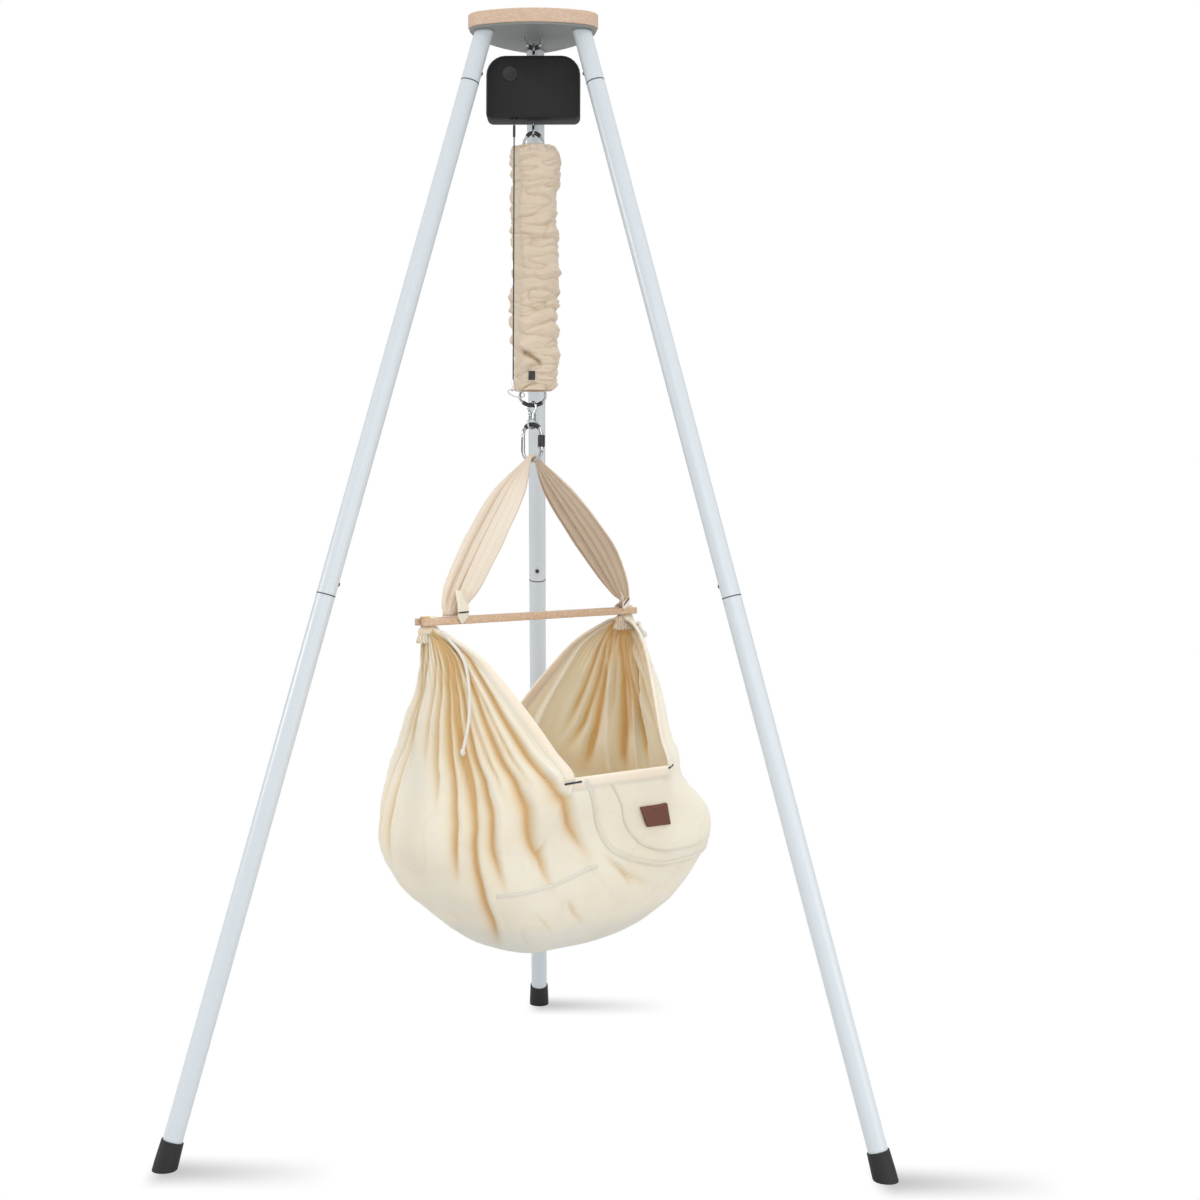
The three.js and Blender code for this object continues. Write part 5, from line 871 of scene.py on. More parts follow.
LEFT_END = (
    (0, 0.003, 0.003, 0.003, 0.009, 0.9, 0.9),
    (0.029, 0.161, 0.49, 0.29, 0.278, 0.9, 0.9),
    (0.078, 0.228, 0.77, 0.46, 0.468, 0.9, 0.9),
    (0.156, 0.322, 0.93, 0.62, 0.668, 0.85, 0.9),
    (0.254, 0.409, 1.05, 0.76, 0.848, 0.8, 0.88),
    (0.38, 0.439, 1.12, 0.9, 0.930, 0.8, 0.86),
    (0.572, 0.336, 1.38, 1.13, 0.872, 1.1, 1.1),
    (0.647, 0.404, 1.24, 0.99, 0.862, 1.3, 1.3),
    (0.72, 0.459, 1.07, 0.81, 0.850, 1.4, 1.4),
    (0.814, 0.538, 0.83, 0.52, 0.814, 1.5, 1.5),
    (0.901, 0.617, 0.57, 0.27, 0.807, 1.5, 1.5),
    (0.963, 0.696, 0.23, 0.17, 0.795, 1.2, 1.2),
    (0.988, 0.7135, 0.0302, 0.0302, 0.8129, 1, 1),
    (1.0159, 0.7135, 0.0302, 0.0302, 0.8129, 1, 1),
)
# Run of cloth from an end's nearer hem, by rise and by the share of the way round
EDGE_SHARES = 1 - np.linspace(0, 1, 90) ** 2
EDGE_RISES = np.linspace(0.02, TOP, 80)
# Pleats, outward ones with a depth below 0: width, depth, then (rise, place) up the line
PLEATS = (
    (0.0050, 0.60, ((0.621, 2.493), (0.733, 2.520), (0.844, 2.560), (0.900, 2.595))),
    (0.0045, 0.50, ((0.573, 2.553), (0.681, 2.580), (0.790, 2.605), (0.900, 2.645))),
    (0.0055, 0.70, (
        (0.464, 2.605), (0.526, 2.597), (0.586, 2.597), (0.648, 2.610), (0.774, 2.633), (0.902, 2.670),
    )),
    (0.0062, 1.05, (
        (0.261, 2.678), (0.348, 2.695), (0.429, 2.680), (0.507, 2.652), (0.584, 2.643), (0.662, 2.652),
        (0.821, 2.674), (0.902, 2.703),
    )),
    (0.0044, 0.60, (
        (0.472, 2.718), (0.532, 2.685), (0.592, 2.672), (0.652, 2.678), (0.774, 2.685), (0.902, 2.715),
    )),
    (0.0066, 1.15, (
        (0.040, 2.600), (0.100, 2.700), (0.170, 2.750), (0.263, 2.773), (0.348, 2.770), (0.429, 2.748),
        (0.509, 2.707), (0.586, 2.687), (0.662, 2.690), (0.821, 2.707), (0.902, 2.732),
    )),
    (0.0062, 1.05, (
        (0.245, 2.862), (0.325, 2.851), (0.400, 2.825), (0.474, 2.780), (0.546, 2.732), (0.613, 2.717),
        (0.685, 2.720), (0.828, 2.733), (0.902, 2.755),
    )),
    (0.0044, 0.55, (
        (0.505, 2.808), (0.561, 2.763), (0.615, 2.750), (0.728, 2.745), (0.844, 2.750), (0.902, 2.765),
    )),
    (0.0068, 1.10, (
        (0.230, 3.103), (0.315, 3.025), (0.398, 2.966), (0.480, 2.890), (0.555, 2.815), (0.625, 2.787),
        (0.766, 2.778), (0.838, 2.780), (0.914, 2.803),
    )),
    (0.0044, 0.60, (
        (0.524, 2.880), (0.580, 2.833), (0.633, 2.816), (0.743, 2.803), (0.855, 2.796), (0.914, 2.812),
    )),
    (0.0068, 1.10, (
        (0.305, 3.408), (0.381, 3.275), (0.458, 3.115), (0.538, 2.945), (0.604, 2.880), (0.668, 2.862),
        (0.795, 2.843), (0.859, 2.842), (0.923, 2.868),
    )),
    (0.0050, 0.55, ((0.571, 2.950), (0.621, 2.932), (0.720, 2.910), (0.817, 2.883), (0.914, 2.878))),
    (0.0035, 0.55, ((0.119, 3.405), (0.160, 3.285), (0.209, 3.210))),
    (0.0035, 0.50, ((0.207, 3.922), (0.266, 3.665), (0.323, 3.505))),
    (0.0030, 0.45, ((0.224, 3.732), (0.250, 3.684), (0.279, 3.635))),
    (0.0030, 0.40, ((0.115, 3.040), (0.141, 3.000), (0.180, 2.965))),
    (0.0070, 0.80, ((0.300, 2.420), (0.500, 2.430), (0.700, 2.460), (0.904, 2.540))),
    (0.0060, 0.60, ((0.350, 2.350), (0.550, 2.370), (0.750, 2.420), (0.904, 2.490))),
    (0.0075, 0.95, ((0.200, 2.270), (0.450, 2.300), (0.700, 2.350), (0.904, 2.430))),
    (0.0060, 0.60, ((0.360, 2.210), (0.560, 2.240), (0.750, 2.290), (0.904, 2.370))),
    (0.0075, 0.90, ((0.260, 2.130), (0.500, 2.170), (0.720, 2.220), (0.904, 2.300))),
    (0.0060, 0.60, ((0.420, 2.080), (0.620, 2.110), (0.780, 2.150), (0.904, 2.220))),
    (0.0058, -0.70, ((0.578, 0.770), (0.644, 0.760), (0.774, 0.750), (0.902, 0.752), (0.956, 0.790))),
    (0.0058, -0.80, (
        (0.518, 0.775), (0.584, 0.738), (0.648, 0.723), (0.774, 0.713), (0.904, 0.722), (0.956, 0.760),
    )),
    (0.0062, -0.95, (
        (0.456, 0.758), (0.538, 0.705), (0.611, 0.690), (0.755, 0.688), (0.896, 0.697), (0.956, 0.730),
    )),
    (0.0044, -0.60, ((0.621, 0.647), (0.761, 0.650), (0.900, 0.669), (0.956, 0.700))),
    (0.0066, -1.05, ((0.472, 0.613), (0.621, 0.610), (0.761, 0.615), (0.898, 0.642), (0.956, 0.675))),
    (0.0044, -0.60, ((0.588, 0.575), (0.716, 0.583), (0.842, 0.606), (0.906, 0.625), (0.956, 0.655))),
    (0.0070, -1.10, (
        (0.503, 0.490), (0.573, 0.490), (0.637, 0.515), (0.702, 0.542), (0.834, 0.585), (0.902, 0.605),
        (0.956, 0.635),
    )),
    (0.0050, -0.65, (
        (0.575, 0.393), (0.639, 0.403), (0.702, 0.442), (0.766, 0.502), (0.834, 0.547), (0.902, 0.577),
        (0.956, 0.610),
    )),
    (0.0070, -1.05, (
        (0.561, 0.325), (0.621, 0.320), (0.675, 0.342), (0.730, 0.380), (0.788, 0.425), (0.846, 0.483),
        (0.908, 0.545), (0.956, 0.590),
    )),
    (0.0060, -0.60, ((0.520, 0.240), (0.640, 0.260), (0.760, 0.320), (0.860, 0.400), (0.956, 0.540))),
    (0.0070, -0.80, ((0.480, 0.150), (0.600, 0.160), (0.740, 0.200), (0.860, 0.290), (0.956, 0.440))),
    (0.0060, 0.60, ((0.350, 0.360), (0.560, 0.380), (0.760, 0.420), (0.956, 0.520))),
    (0.0065, 0.75, ((0.300, 0.560), (0.500, 0.545), (0.700, 0.560), (0.956, 0.640))),
    (0.0060, 0.65, ((0.330, 0.660), (0.520, 0.650), (0.760, 0.672), (0.956, 0.740))),
    (0.0065, 0.75, ((0.300, 0.860), (0.500, 0.850), (0.700, 0.850), (0.956, 0.870))),
)
PLEAT_RISES = (0.0, 0.10, 0.22, 0.36, 0.50, 0.64, 0.76, 0.86, 0.92, 0.965, 0.985, 1.02)
PLEAT_HEIGHTS = (
    0.003, 0.0055, 0.0085, 0.0115, 0.0145, 0.0165, 0.0150, 0.0110, 0.0075, 0.0035, 0.0004, 0.0002,
)


def end_row(table, rise):
    sizes = np.array([1, HALF_LENGTH, HALF_WIDTH, HALF_WIDTH, HALF_LENGTH, 1, 1])
    rows = np.array(table) * sizes
    return even_curve(rows[:, 0], rows[:, 1:], np.ravel(rise)).T.reshape((6,) + np.shape(rise))


def bare_end(end, share, rise):
    corner, near, far, reach, along, across = end_row(RIGHT_END if end > 0 else LEFT_END, rise)
    turn = share * np.pi / 2
    x = corner + (reach - corner) * np.cos(turn).clip(0) ** along
    wide = np.where(share * end < 0, near, far) * np.abs(np.sin(turn)) ** across
    return np.stack([end * x, end * np.sign(turn) * wide, (rise - 1) * TUB_DEPTH], -1)


def bare_panel(side, share, rise):
    right, left = end_row(RIGHT_END, rise), end_row(LEFT_END, rise)
    place = (1 - side * share) / 2
    x = -left[0] + (left[0] + right[0]) * place
    row = 2 if side > 0 else 1
    wide = left[row] + (right[row] - left[row]) * smoothstep(place, 0, 1)
    return np.stack([x, side * wide, (rise - 1) * TUB_DEPTH], -1)


# Once round the tub: quarter 0 is the right end from its near hem to its far hem,
# 1 the far panel, 2 the left end from its far hem to its near hem, 3 the near panel
def bare_cloth(place, rise):
    place, rise = np.broadcast_arrays(np.asarray(place, float) % 4, np.asarray(rise, float))
    share = 2 * (place % 1) - 1
    points = np.zeros(place.shape + (3,))
    for quarter in range(4):
        here = (place >= quarter) & (place < quarter + 1)
        if not here.any():
            continue
        make = bare_panel if quarter % 2 else bare_end
        points[here] = make(1 if quarter < 2 else -1, share[here], rise[here])
    return points


def edge_table(quarter, side):
    shares, rises = np.meshgrid(EDGE_SHARES * side, EDGE_RISES)
    points = bare_cloth(quarter + np.clip((shares + 1) / 2, 0, 1 - 1e-9), rises)
    steps = np.linalg.norm(np.diff(points, axis=1), axis=2)
    return np.concatenate([np.zeros((len(EDGE_RISES), 1)), np.cumsum(steps, axis=1)], axis=1)


EDGE_RUNS = {(quarter, side): edge_table(quarter, side) for quarter in (0, 2) for side in (-1, 1)}


def from_hem(place, rise):
    run = np.full(place.shape, 1.0)
    for (quarter, side), table in EDGE_RUNS.items():
        share = 2 * (place - quarter) - 1
        here = (place >= quarter) & (place < quarter + 1) & (share * side >= 0)
        if not here.any():
            continue
        column = np.sqrt(np.clip(1 - np.abs(share[here]), 0, 1)) * (len(EDGE_SHARES) - 1)
        row = np.interp(rise[here], EDGE_RISES, np.arange(len(EDGE_RISES)))
        i = np.clip(row.astype(int), 0, len(EDGE_RISES) - 2)
        k = np.clip(column.astype(int), 0, len(EDGE_SHARES) - 2)
        u, v = row - i, column - k
        run[here] = (1 - u) * ((1 - v) * table[i, k] + v * table[i, k + 1]) + u * (
            (1 - v) * table[i + 1, k] + v * table[i + 1, k + 1])
    return run


SLOPE_STEP = 0.004


def pleats(place, rise, scale):
    lift, deep, inner = np.zeros(place.shape), np.zeros(place.shape), np.zeros(place.shape)
    fade = np.interp(rise, PLEAT_RISES, PLEAT_HEIGHTS)
    thin = 0.45 + 0.55 * smoothstep(rise, 0.93, 0.62)
    for width, depth, line in PLEATS:
        line = np.array(line)
        low, high = line[0, 0], line[-1, 0]
        at = np.clip(rise, low - 0.02, high)
        middle, ahead = (
            even_curve(line[:, 0], line[:, 1:], heights.ravel())[:, 0].reshape(rise.shape)
            for heights in (at, at + SLOPE_STEP)
        )
        lean = (ahead - middle) / SLOPE_STEP * scale / TUB_DEPTH
        off = (place - middle + 2) % 4 - 2
        off = off * scale / np.sqrt(1 + lean**2) / (width * thin)
        if depth > 0:
            off = np.where(off > 0, off * 1.5, off * 0.72)
        shown = abs(depth) * smoothstep(rise, low - 0.015, low + min(0.13, (high - low) / 2))
        if high < RIM:
            shown = shown * (1 - smoothstep(rise, high - 0.03, high + 0.01))
        valley = 0.62 * np.exp(-np.abs(off) ** 1.5) + 0.42 * hill(off, 0, 3.2)
        ridge = 0.34 * hill(off, 2.6, 1.3) + 0.16 * hill(off, -3.4, 1.8)
        # Painted shade in each pleat's valley: outside for inward pleats, inside for outward ones
        dark = 0.85 * np.exp(-np.abs(off) ** 1.6) + 0.16 * hill(off, 0, 2.6)
        lift += np.sign(depth) * fade * shown * (ridge - valley)
        if depth > 0:
            deep += shown * dark
        else:
            inner += shown * dark
    return lift, deep, inner


def hem_width(rise):
    return HEM_WIDTH * (1 - 0.5 * smoothstep(rise, 0.80, 0.95))


def tub_lift(place, rise, points, scale):
    lift, deep, inner = pleats(place, rise, scale)
    quarter = np.floor(place).astype(int)
    fan = quarter % 2 == 0
    fine = np.abs(np.cos(np.pi * 34 * (place + 0.012 * np.sin(31 * place) + 0.02 * rise)))
    near_bar = smoothstep(rise, 0.72, 0.93) * fan
    lift += near_bar * (fine - 0.6) * np.interp(rise, (0.7, 0.93, 0.985), (0, 0.0032, 0.0006))
    # Painted shade in the valleys of the fine folds by the bar, outside and inside
    deep += near_bar * 0.55 * (1 - fine)
    inner += near_bar * 0.60 * fine**3
    flat = points.reshape(-1, 3)
    calm = smoothstep(rise, 0.02, 0.12) * (1 - smoothstep(rise, 0.60, 0.95))
    soft = 0.0050 * creases(flat, (8, 8, 6), 1.7) + 0.0024 * creases(flat, (24, 24, 15), 6.1)
    line = np.abs(creases(flat, (7.5, 7.5, 10), 9.4)).reshape(place.shape)
    lift = lift + calm * soft.reshape(place.shape)
    sharp = np.exp(-line / 0.022) * calm * (1 - smoothstep(rise, 0.42, 0.55))
    lift = lift - 0.0016 * sharp
    # By the right end's near hem the cloth is full below and drawn in above
    turned = (place + 2) % 4 - 2
    full = 0.017 * hill(turned, 0.10, 0.20) * hill(rise, 0.345, 0.075)
    lift = lift + (full - 0.008 * hill(turned, 0.03, 0.10) * hill(rise, 0.52, 0.05))
    # Folds die out where the cloth is sewn flat under a hem
    side = from_hem(place, rise)
    edge = hem_width(rise)
    room = 1 - smoothstep(rise, RIM - 0.05, RIM) * (1 - smoothstep(side, edge, 1.9 * edge)) * fan
    room = room * np.where(fan, 1, smoothstep((RIM - rise) * TUB_DEPTH, 0.017, 0.034))
    # Painted light: beside its near hem the right end's inside is tinted gold, for the light that shines
    # through the cloth there
    shine_through_tint = smoothstep(place, 0.42, 0.12) * smoothstep(place, -0.01, 0.05) * (quarter == 0)
    inner = inner + 0.26 * shine_through_tint * smoothstep(rise, 0.50, 0.62)
    # Painted shade also goes into the sharp creases, and none is painted under the hems
    return lift * room, np.clip((deep + 0.10 * sharp) * room, 0, 1), np.clip(inner * room, 0, 1)


# Points and normals of the tub's outside, and the depth of fold outside and inside, which sets the painted
# fold shade
def tub_surface(place, rise):
    place, rise = np.broadcast_arrays(np.asarray(place, float) % 4, np.asarray(rise, float))
    place, rise = place.copy(), rise.copy()
    points = bare_cloth(place, rise)
    step = SLOPE_STEP
    corner = np.where(place % 1 < step, step, np.where(place % 1 > 1 - step, -step, 0))
    around = bare_cloth(place + corner + step, rise) - bare_cloth(place + corner - step, rise)
    up = bare_cloth(place, rise + step) - bare_cloth(place, np.maximum(rise - step, 0.0005))
    normal = np.cross(around, up)
    normal /= np.linalg.norm(normal, axis=-1)[..., None].clip(1e-12)
    scale = np.linalg.norm(around, axis=-1) / (2 * step)
    lift, deep, inner = tub_lift(place, rise, points, scale)
    return points + lift[..., None] * normal, normal, deep, inner


RECESS_DEPTH = 0.011
RECESS_SPAN = 10


def tub_cloth():
    rises = np.concatenate([
        [0.004], np.linspace(0.0, RIM, BOWL_ROWS + 1)[1:], np.linspace(RIM, TOP, FAN_ROWS + 1)[1:]
    ])
    around = np.concatenate([
        quarter + np.linspace(0, 1, PANEL_COLUMNS if quarter % 2 else END_COLUMNS, endpoint=False)
        for quarter in range(4)
    ])
    place, rise = np.meshgrid(around, rises, indexing="xy")
    outer, normal, deep, shade = tub_surface(place, rise)
    inner = outer - CLOTH_THICK * normal
    rows, columns = outer.shape[:2]
    filled = np.ones((rows - 1, columns), bool)
    filled[BOWL_ROWS:, (around % 2) >= 1] = False
    count = rows * columns
    faces = []
    for row in range(rows - 1):
        for k in range(columns):
            if not filled[row, k]:
                continue
            a, b = row * columns + k, row * columns + (k + 1) % columns
            c, d = b + columns, a + columns
            faces.append((a, b, c, d))
            faces.append((count + d, count + c, count + b, count + a))
            if row == rows - 2 or not filled[row + 1, k]:
                faces.append((d, c, count + c, count + d))
            if not filled[row, (k + 1) % columns]:
                faces.append((c, b, count + b, count + c))
            if not filled[row, (k - 1) % columns]:
                faces.append((a, d, count + d, count + a))
    middles = np.stack([outer[0].mean(0), inner[0].mean(0)])
    points = np.concatenate([outer.reshape(-1, 3), inner.reshape(-1, 3), middles])
    for k in range(columns):
        faces.append((2 * count, (k + 1) % columns, k))
        faces.append((2 * count + 1, count + k, count + (k + 1) % columns))
    used = np.zeros(len(points), bool)
    for face in faces:
        used[list(face)] = True
    renumber = np.cumsum(used) - 1
    faces = [tuple(int(renumber[i]) for i in face) for face in faces]
    # Painted shade: recesses beside lobes, and the inside towards the bottom, are mixed towards the shade
    # colour
    lift = ((outer - bare_cloth(place, rise)) * normal).sum(-1)
    shifts = range(-RECESS_SPAN, RECESS_SPAN + 1)
    nearby = sum(np.roll(lift, k, axis=1) for k in shifts) / len(shifts)
    recess = (nearby - lift) / RECESS_DEPTH
    inside = 0.85 * shade + 0.15 * smoothstep(rise, 0.5, 0.2) + 0.9 * np.clip(-recess, 0, 1) ** 1.5
    outside = deep + 0.9 * np.clip(recess, 0, 1) ** 1.5 * smoothstep(deep, 0.35, 0.05)
    folds = np.concatenate([outside.ravel(), inside.ravel(), [0, 0.5]])[used]
    piece = mesh_piece("gathered_tub", from_hammock(points[used]), faces, cloth)
    set_fold_shade(piece, np.clip(folds, 0, 1))
    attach(piece, "hammock")
    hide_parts("hammock_tub")
    return piece


tub = tub_cloth()

# Hems: the cloth's edges are folded over twice and stitched, along both gathered
# edges of each end and along the upper edges of the two side panels.
HEM_PROFILE = (
    # share of the width from the edge, height over the outer face
    (1.00, -0.0004), (0.985, 0.0010), (0.90, 0.0013), (0.87, 0.0008), (0.84, 0.0016), (0.45, 0.0021),
    (0.10, 0.0019), (-0.05, 0.0008), (-0.09, -0.0011), (-0.05, -0.0030), (0.10, -0.0041),
    (0.45, -0.0042), (0.84, -0.0038), (0.87, -0.0031), (0.90, -0.0036), (0.985, -0.0032), (1.00, -0.0018),
)
FAN_RISES = np.linspace(RIM - 0.004, 0.972, 120)


def loop_piece(name, rings, material, fold):
    points, faces = skin(rings)
    piece = mesh_piece(name, from_hammock(points), faces, material)
    edit_mesh(piece, lambda: bpy.ops.mesh.normals_make_consistent(inside=False))
    # The whole piece gets one level of painted fold shade
    set_fold_shade(piece, np.full(len(points), fold))
    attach(piece, "hammock")
    return piece


def end_hem(name, quarter, side):
    width = hem_width(FAN_RISES)
    table = EDGE_RUNS[quarter, side]
    rings = []
    for share, height in HEM_PROFILE:
        columns = []
        for rise, wide in zip(FAN_RISES, width):
            row = np.interp(rise, EDGE_RISES, np.arange(len(EDGE_RISES)))
            i = min(int(row), len(EDGE_RISES) - 2)
            runs = table[i] * (1 - row + i) + table[i + 1] * (row - i)
            columns.append(np.interp(max(share, 0) * wide + 0.0008, runs, np.sqrt(1 - EDGE_SHARES)))
        places = quarter + np.clip((1 + side * (1 - np.array(columns) ** 2)) / 2, 1e-6, 1 - 1e-6)
        points, normal = tub_surface(places, FAN_RISES)[:2]
        if not rings:
            inner_edge = points
        ring = points + height * normal
        if share < 0:
            outward = points - inner_edge
            outward /= np.linalg.norm(outward, axis=1)[:, None]
            ring = ring - share * width[:, None] * outward
        rings.append(ring)
    return loop_piece(name, np.array(rings).transpose(1, 0, 2), cloth, 0.04)


def panel_hem(name, quarter):
    places = quarter + np.linspace(0.002, 0.998, 90)
    rings = []
    for share, height in HEM_PROFILE:
        points, normal = tub_surface(places, RIM - 0.001 - max(share, 0) * HEM_WIDTH / TUB_DEPTH)[:2]
        points = points + height * normal
        points[:, 2] += max(-share, 0) * HEM_WIDTH
        rings.append(points)
    return loop_piece(name, np.array(rings).transpose(1, 0, 2), cloth, 0.04)


hems = [
    end_hem("left_near_hem", 2, 1), end_hem("left_far_hem", 2, -1),
    end_hem("right_near_hem", 0, -1), end_hem("right_far_hem", 0, 1),
    panel_hem("near_panel_hem", 3), panel_hem("far_panel_hem", 1),
]

# Seams: felled seams join the panels to the main cloth under the lying place and
# mark off the pocket for the mattress; they stand a little proud of the cloth.
SEAM_PROFILE = (
    # share of half the width, share of the height where above 0
    (-1, -0.0012), (-0.9, 0.3), (-0.62, 1.0), (-0.5, 0.55), (-0.38, 1.0), (0.38, 1.0), (0.5, 0.55),
    (0.62, 1.0), (0.9, 0.3), (1, -0.0012), (0.5, -0.0016), (-0.5, -0.0016),
)
QUARTER_LENGTH = 0.30
SEAM_DEPTH = 0.64


def seam(name, line, width, height, fold=0.06):
    line = np.array(line)
    flat = np.column_stack([line, np.zeros(len(line))]) * (QUARTER_LENGTH, SEAM_DEPTH, 1)
    curve = spread_along(flat, 16 * len(line))
    middle, normal = tub_surface(curve[:, 0] / QUARTER_LENGTH, curve[:, 1] / SEAM_DEPTH)[:2]
    along = np.gradient(middle, axis=0)
    across = np.cross(normal, along)
    across /= np.linalg.norm(across, axis=1)[:, None]
    rings = []
    for share, lift in SEAM_PROFILE:
        rise = height * lift if lift > 0 else lift
        rings.append(middle + share * width / 2 * across + rise * normal)
    return loop_piece(name, np.array(rings).transpose(1, 0, 2), cloth, fold)


seams = [
    seam("outer_pocket_seam", (
        (3.107, 0.564), (3.20, 0.530), (3.288, 0.490), (3.430, 0.404), (3.540, 0.343), (3.695, 0.306),
        (3.86, 0.284), (3.955, 0.276), (4.077, 0.280), (4.195, 0.305), (4.36, 0.345),
    ), 0.012, 0.0024, 0.10),
    seam("inner_pocket_seam", (
        (3.397, 0.542), (3.49, 0.505), (3.555, 0.472), (3.615, 0.417), (3.748, 0.351), (3.860, 0.326),
        (3.960, 0.316), (4.06, 0.318), (4.147, 0.336),
    ), 0.005, 0.0016, 0.14),
    seam("left_floor_seam", (
        (3.450, 0.296), (3.36, 0.287), (3.270, 0.277), (3.053, 0.257), (2.920, 0.251), (2.825, 0.247),
    ), 0.009, 0.0010),
    seam("far_floor_seam", (
        (1.02, 0.27), (1.2, 0.285), (1.5, 0.30), (1.8, 0.285), (1.98, 0.26),
    ), 0.010, 0.0014),
]

# Bar tacks: short rows of dense navy stitching that close the hems' ends and the
# strap's tabs.
navy = grained("navy thread", (0.012, 0.014, 0.035), 0.7, grain=1500, depth=0.0003)
TACK_PROFILE = ((-1, 0.2), (-0.6, 1.3), (0.6, 1.3), (1, 0.2), (0.6, -0.3), (-0.6, -0.3))
TACK_STEPS = 14
TACK_LIFT = 0.0026


def tack(name, start, end, normal, width=0.0042, height=0.0016):
    start, end, normal = np.asarray(start, float), np.asarray(end, float), np.asarray(normal, float)
    normal = normal / np.linalg.norm(normal)
    along = end - start
    across = np.cross(normal, along)
    across /= np.linalg.norm(across)
    rings = []
    for k in range(TACK_STEPS + 1):
        point = start + along * k / TACK_STEPS
        stitch = 0.72 + 0.28 * (k % 2)
        rings.append([
            point + across * width / 2 * s * stitch + normal * (height * h * stitch - 0.0008)
            for s, h in TACK_PROFILE
        ])
    return loop_piece(name, rings, navy, 0)


def tack_on_tub(name, first, second):
    points, normal = tub_surface(*np.transpose([first, second]))[:2]
    points = points + TACK_LIFT * normal
    return tack(name, points[0], points[1], normal.mean(0))


tacks = [
    tack_on_tub("near_left_tack", (2.955, 0.560), (3.070, 0.562)),
    tack_on_tub("near_right_tack", (3.990, 0.566), (4.060, 0.572)),
    tack_on_tub("far_left_tack", (1.935, 0.566), (2.045, 0.572)),
    tack_on_tub("far_right_tack", (0.955, 0.572), (1.065, 0.566)),
]

# Strap tabs: at the bar the strap's near hem is folded to a point, laid over the
# beech and closed with a bar tack of the same navy thread.
TAB_PROFILE = (
    (-1, 0.1), (-0.86, 1.5), (-0.5, 0.9), (0.5, 0.9), (0.86, 1.5), (1, 0.1), (0.6, -0.9), (-0.6, -0.9),
)


def strap_tab(name, levels):
    rings = [
        [(x + half * s, y - 0.0011 * h, height) for s, h in TAB_PROFILE]
        for height, x, half, y in spread_along(levels, 22)
    ]
    return loop_piece(name, rings, cloth, 0.10)


strap_tab("left_strap_tab", (
        (0.056, -0.1880, 0.0090, -0.0040), (0.040, -0.1875, 0.0125, -0.0105),
        (0.026, -0.1885, 0.0135, -0.0160), (0.014, -0.1895, 0.0135, -0.0180),
        (0.006, -0.1905, 0.0120, -0.0184), (-0.0005, -0.1915, 0.0075, -0.0180),
        (-0.0055, -0.1925, 0.0012, -0.0172),
    ))
strap_tab("right_strap_tab", (
        (0.054, 0.2430, 0.0085, -0.0040), (0.040, 0.2440, 0.0110, -0.0110),
        (0.030, 0.2440, 0.0115, -0.0155), (0.020, 0.2435, 0.0108, -0.0172),
        (0.011, 0.2400, 0.0075, -0.0178), (0.004, 0.2365, 0.0015, -0.0176),
    ))
tack(
        "left_strap_tack", (-0.2020, -0.0198, 0.0150), (-0.1770, -0.0198, 0.0160), (0, -1, 0),
        width=0.0030, height=0.0013,
    )
tack(
        "right_strap_tack", (0.2350, -0.0188, 0.0120), (0.2515, -0.0185, 0.0260), (0, -1, 0),
        width=0.0032, height=0.0013,
    )

# Gathers: under each end of the bar the cloth is drawn in by a cord that runs in
# a narrow stitched channel, and stands out below it in a ring of small ruffles.
NECK_X = 0.261
GATHER_LEVELS = (
    # height under the bar's middle, half length, half width
    (-0.0070, 0.0150, 0.0060), (-0.0095, 0.0185, 0.0085), (-0.0130, 0.0215, 0.0110),
    (-0.0170, 0.0225, 0.0120), (-0.0215, 0.0215, 0.0115), (-0.0235, 0.0210, 0.0112),
    (-0.0260, 0.0222, 0.0125), (-0.0310, 0.0240, 0.0150), (-0.0350, 0.0248, 0.0168),
    (-0.0368, 0.0240, 0.0165), (-0.0340, 0.0215, 0.0140), (-0.0260, 0.0190, 0.0110),
    (-0.0200, 0.0175, 0.0090),
)


def gather(name, end):
    turn = np.linspace(0, 2 * np.pi, 132, endpoint=False)
    rings = []
    for height, half, wide in spread_along(GATHER_LEVELS, 44):
        depth = smoothstep(-height, 0.010, 0.030)
        wave = np.abs(np.cos(10.5 * turn + 0.8 * np.sin(3 * turn) + end)) - 0.6
        size = 1 + (0.10 + 0.10 * depth) * wave
        drop = 0.0022 * np.cos(21 * turn + 2 * end) * depth
        rings.append(np.stack([
            end * NECK_X + half * size * np.cos(turn) - 0.004 * end,
            wide * size * np.sin(turn),
            np.full_like(turn, height) + drop,
        ], 1))
    return loop_piece(name, rings, cloth, 0.22)


gathers = [gather("left_gather", -1), gather("right_gather", 1)]

# Mattress: a flat pad of quilted cotton with a piped edge, which lies in the
# bottom of the tub and follows its round outline.
MATTRESS_EDGE = 0.085
MATTRESS_CROWN = 0.012
MATTRESS_GAP = 0.006
MATTRESS_MIDDLE = np.array([0.012, -0.012, 0])


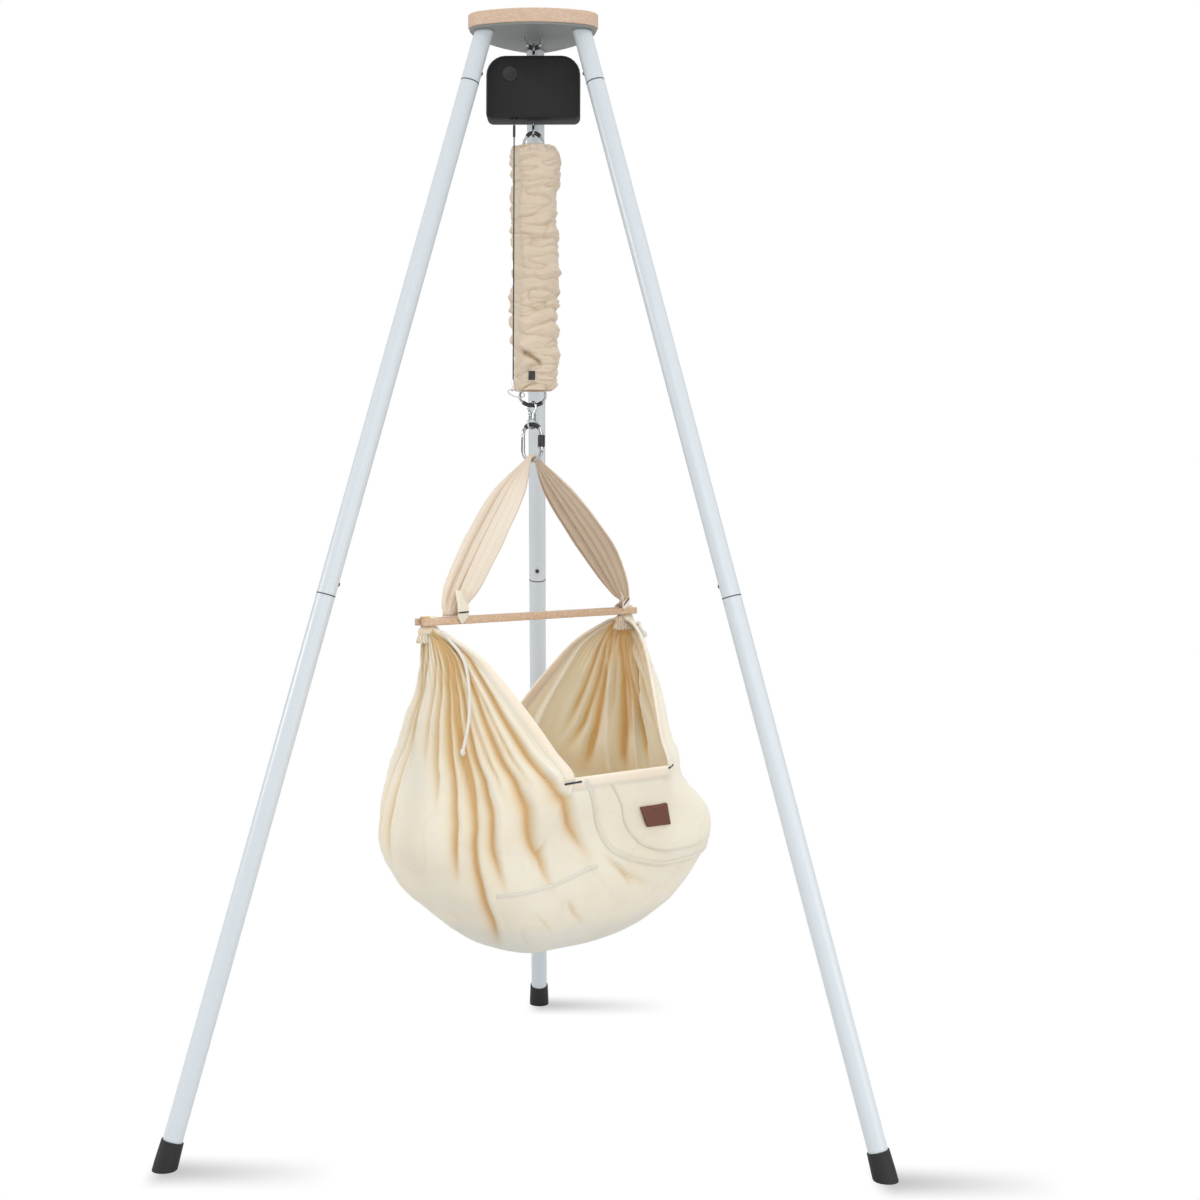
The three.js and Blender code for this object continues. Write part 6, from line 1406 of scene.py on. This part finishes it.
def mattress():
    turns = np.linspace(0, 4, 240, endpoint=False)
    rings = []

    def ring(rise, inset, lift, draw=0.0):
        edge = bare_cloth(turns, rise)
        away = edge - MATTRESS_MIDDLE
        away[:, 2] = 0
        size = np.linalg.norm(away, axis=1)[:, None]
        placed = edge - away / size * (inset + MATTRESS_GAP) - away * draw
        placed[:, 2] += lift
        rings.append(placed)

    rim = MATTRESS_EDGE / TUB_DEPTH
    for rise, lift in ((0.029, 0.006), (0.05, 0.005), (0.078, 0.004), (0.10, 0.003)):
        ring(rise, 0.009, lift)
    piping = ((-0.012, 0.0090), (-0.006, 0.0075), (0, 0.0070), (0.005, 0.0085), (0.002, 0.0120))
    for over_rim, inset in piping:
        ring(rim + over_rim, inset, 0.0)
    for draw in np.linspace(0.02, 0.96, 26):
        quilt = 0.0022 * np.abs(np.sin(draw * 19))
        ring(rim, 0.0120, MATTRESS_CROWN * smoothstep(draw, -0.1, 0.45) - 0.0035 + quilt, draw)
    return loop_piece("mattress_pad", rings, cloth, 0.08)


pad = mattress()
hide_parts("mattress")

# Label: a small rectangle of smooth brown leather, left plain, sewn to the near
# panel with four rows of fine stitches.
leather = grained("brown leather", (0.150, 0.046, 0.026), 0.55, grain=700, depth=0.0003)
tan_thread = grained("tan thread", (0.30, 0.13, 0.07), 0.8, grain=900, depth=0.0002)
LABEL_CORNERS = ((3.712, 0.4590), (3.952, 0.4610), (3.966, 0.3985), (3.780, 0.3985))
LABEL_ROWS = 14
LABEL_COLUMNS = 22
LABEL_FACE = 0.0058
LABEL_BACK = 0.0012
STITCH_INSET = 0.0035
STITCH_HEIGHT = 0.0061
STITCH_PITCH = 0.0034
STITCH_RADIUS = 0.00045


def label():
    rows, columns = LABEL_ROWS, LABEL_COLUMNS
    corners, normals = tub_surface(*np.array(LABEL_CORNERS).T)[:2]
    u, v = np.meshgrid(np.linspace(0, 1, columns), np.linspace(0, 1, rows))
    top = corners[0] + (corners[1] - corners[0]) * u[..., None]
    low = corners[3] + (corners[2] - corners[3]) * u[..., None]
    flat = top + (low - top) * v[..., None]
    normal = normals.mean(0)
    normal /= np.linalg.norm(normal)
    sideways = np.minimum(u, 1 - u) * np.linalg.norm(corners[1] - corners[0])
    upright = np.minimum(v, 1 - v) * np.linalg.norm(corners[3] - corners[0])
    edge = np.minimum(sideways, upright)
    rounded = 0.0008 * (1 - np.exp(-edge / 0.0012)) - 0.0004 * hill(edge, STITCH_INSET, 0.0011)
    face = flat + (LABEL_FACE + rounded)[..., None] * normal
    back = flat + LABEL_BACK * normal
    count = rows * columns
    points = np.concatenate([face.reshape(-1, 3), back.reshape(-1, 3)])
    faces = []
    for row in range(rows - 1):
        for k in range(columns - 1):
            a = row * columns + k
            quad = (a, a + columns, a + columns + 1, a + 1)
            faces += [quad, tuple(count + i for i in reversed(quad))]
    rim = [*range(columns), *((row + 1) * columns - 1 for row in range(1, rows))]
    rim += [(rows - 1) * columns + k for k in range(columns - 2, -1, -1)]
    rim += [row * columns for row in range(rows - 2, 0, -1)]
    for a, b in zip(rim, rim[1:] + rim[:1]):
        faces.append((a, b, count + b, count + a))
    piece = mesh_piece("leather_label", from_hammock(points), faces, leather)
    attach(piece, "hammock")
    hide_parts("cloth_label")
    return [flat[0, 0], flat[0, -1], flat[-1, -1], flat[-1, 0]], normal


label_corners, label_normal = label()


def label_stitches():
    inner = []
    for k, corner in enumerate(label_corners):
        ways = [other - corner for other in (label_corners[k - 1], label_corners[(k + 1) % 4])]
        inward = sum(way / np.linalg.norm(way) for way in ways)
        inner.append(corner + STITCH_INSET * inward + STITCH_HEIGHT * label_normal)
    points, faces, used = [], [], 0
    for a, b in zip(inner, inner[1:] + inner[:1]):
        count = int(np.linalg.norm(b - a) / STITCH_PITCH)
        for i in range(count):
            start = a + (b - a) * (i + 0.2) / count
            stop = a + (b - a) * (i + 0.8) / count
            line = np.array([start, (start + stop) / 2 + 0.0003 * label_normal, stop])
            stitch_points, stitch_faces = rope(line, STITCH_RADIUS, 6)
            points.append(stitch_points)
            faces += [tuple(used + corner for corner in face) for face in stitch_faces]
            used += len(stitch_points)
    piece = mesh_piece("label_stitching", from_hammock(np.concatenate(points)), faces, tan_thread)
    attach(piece, "hammock")


label_stitches()
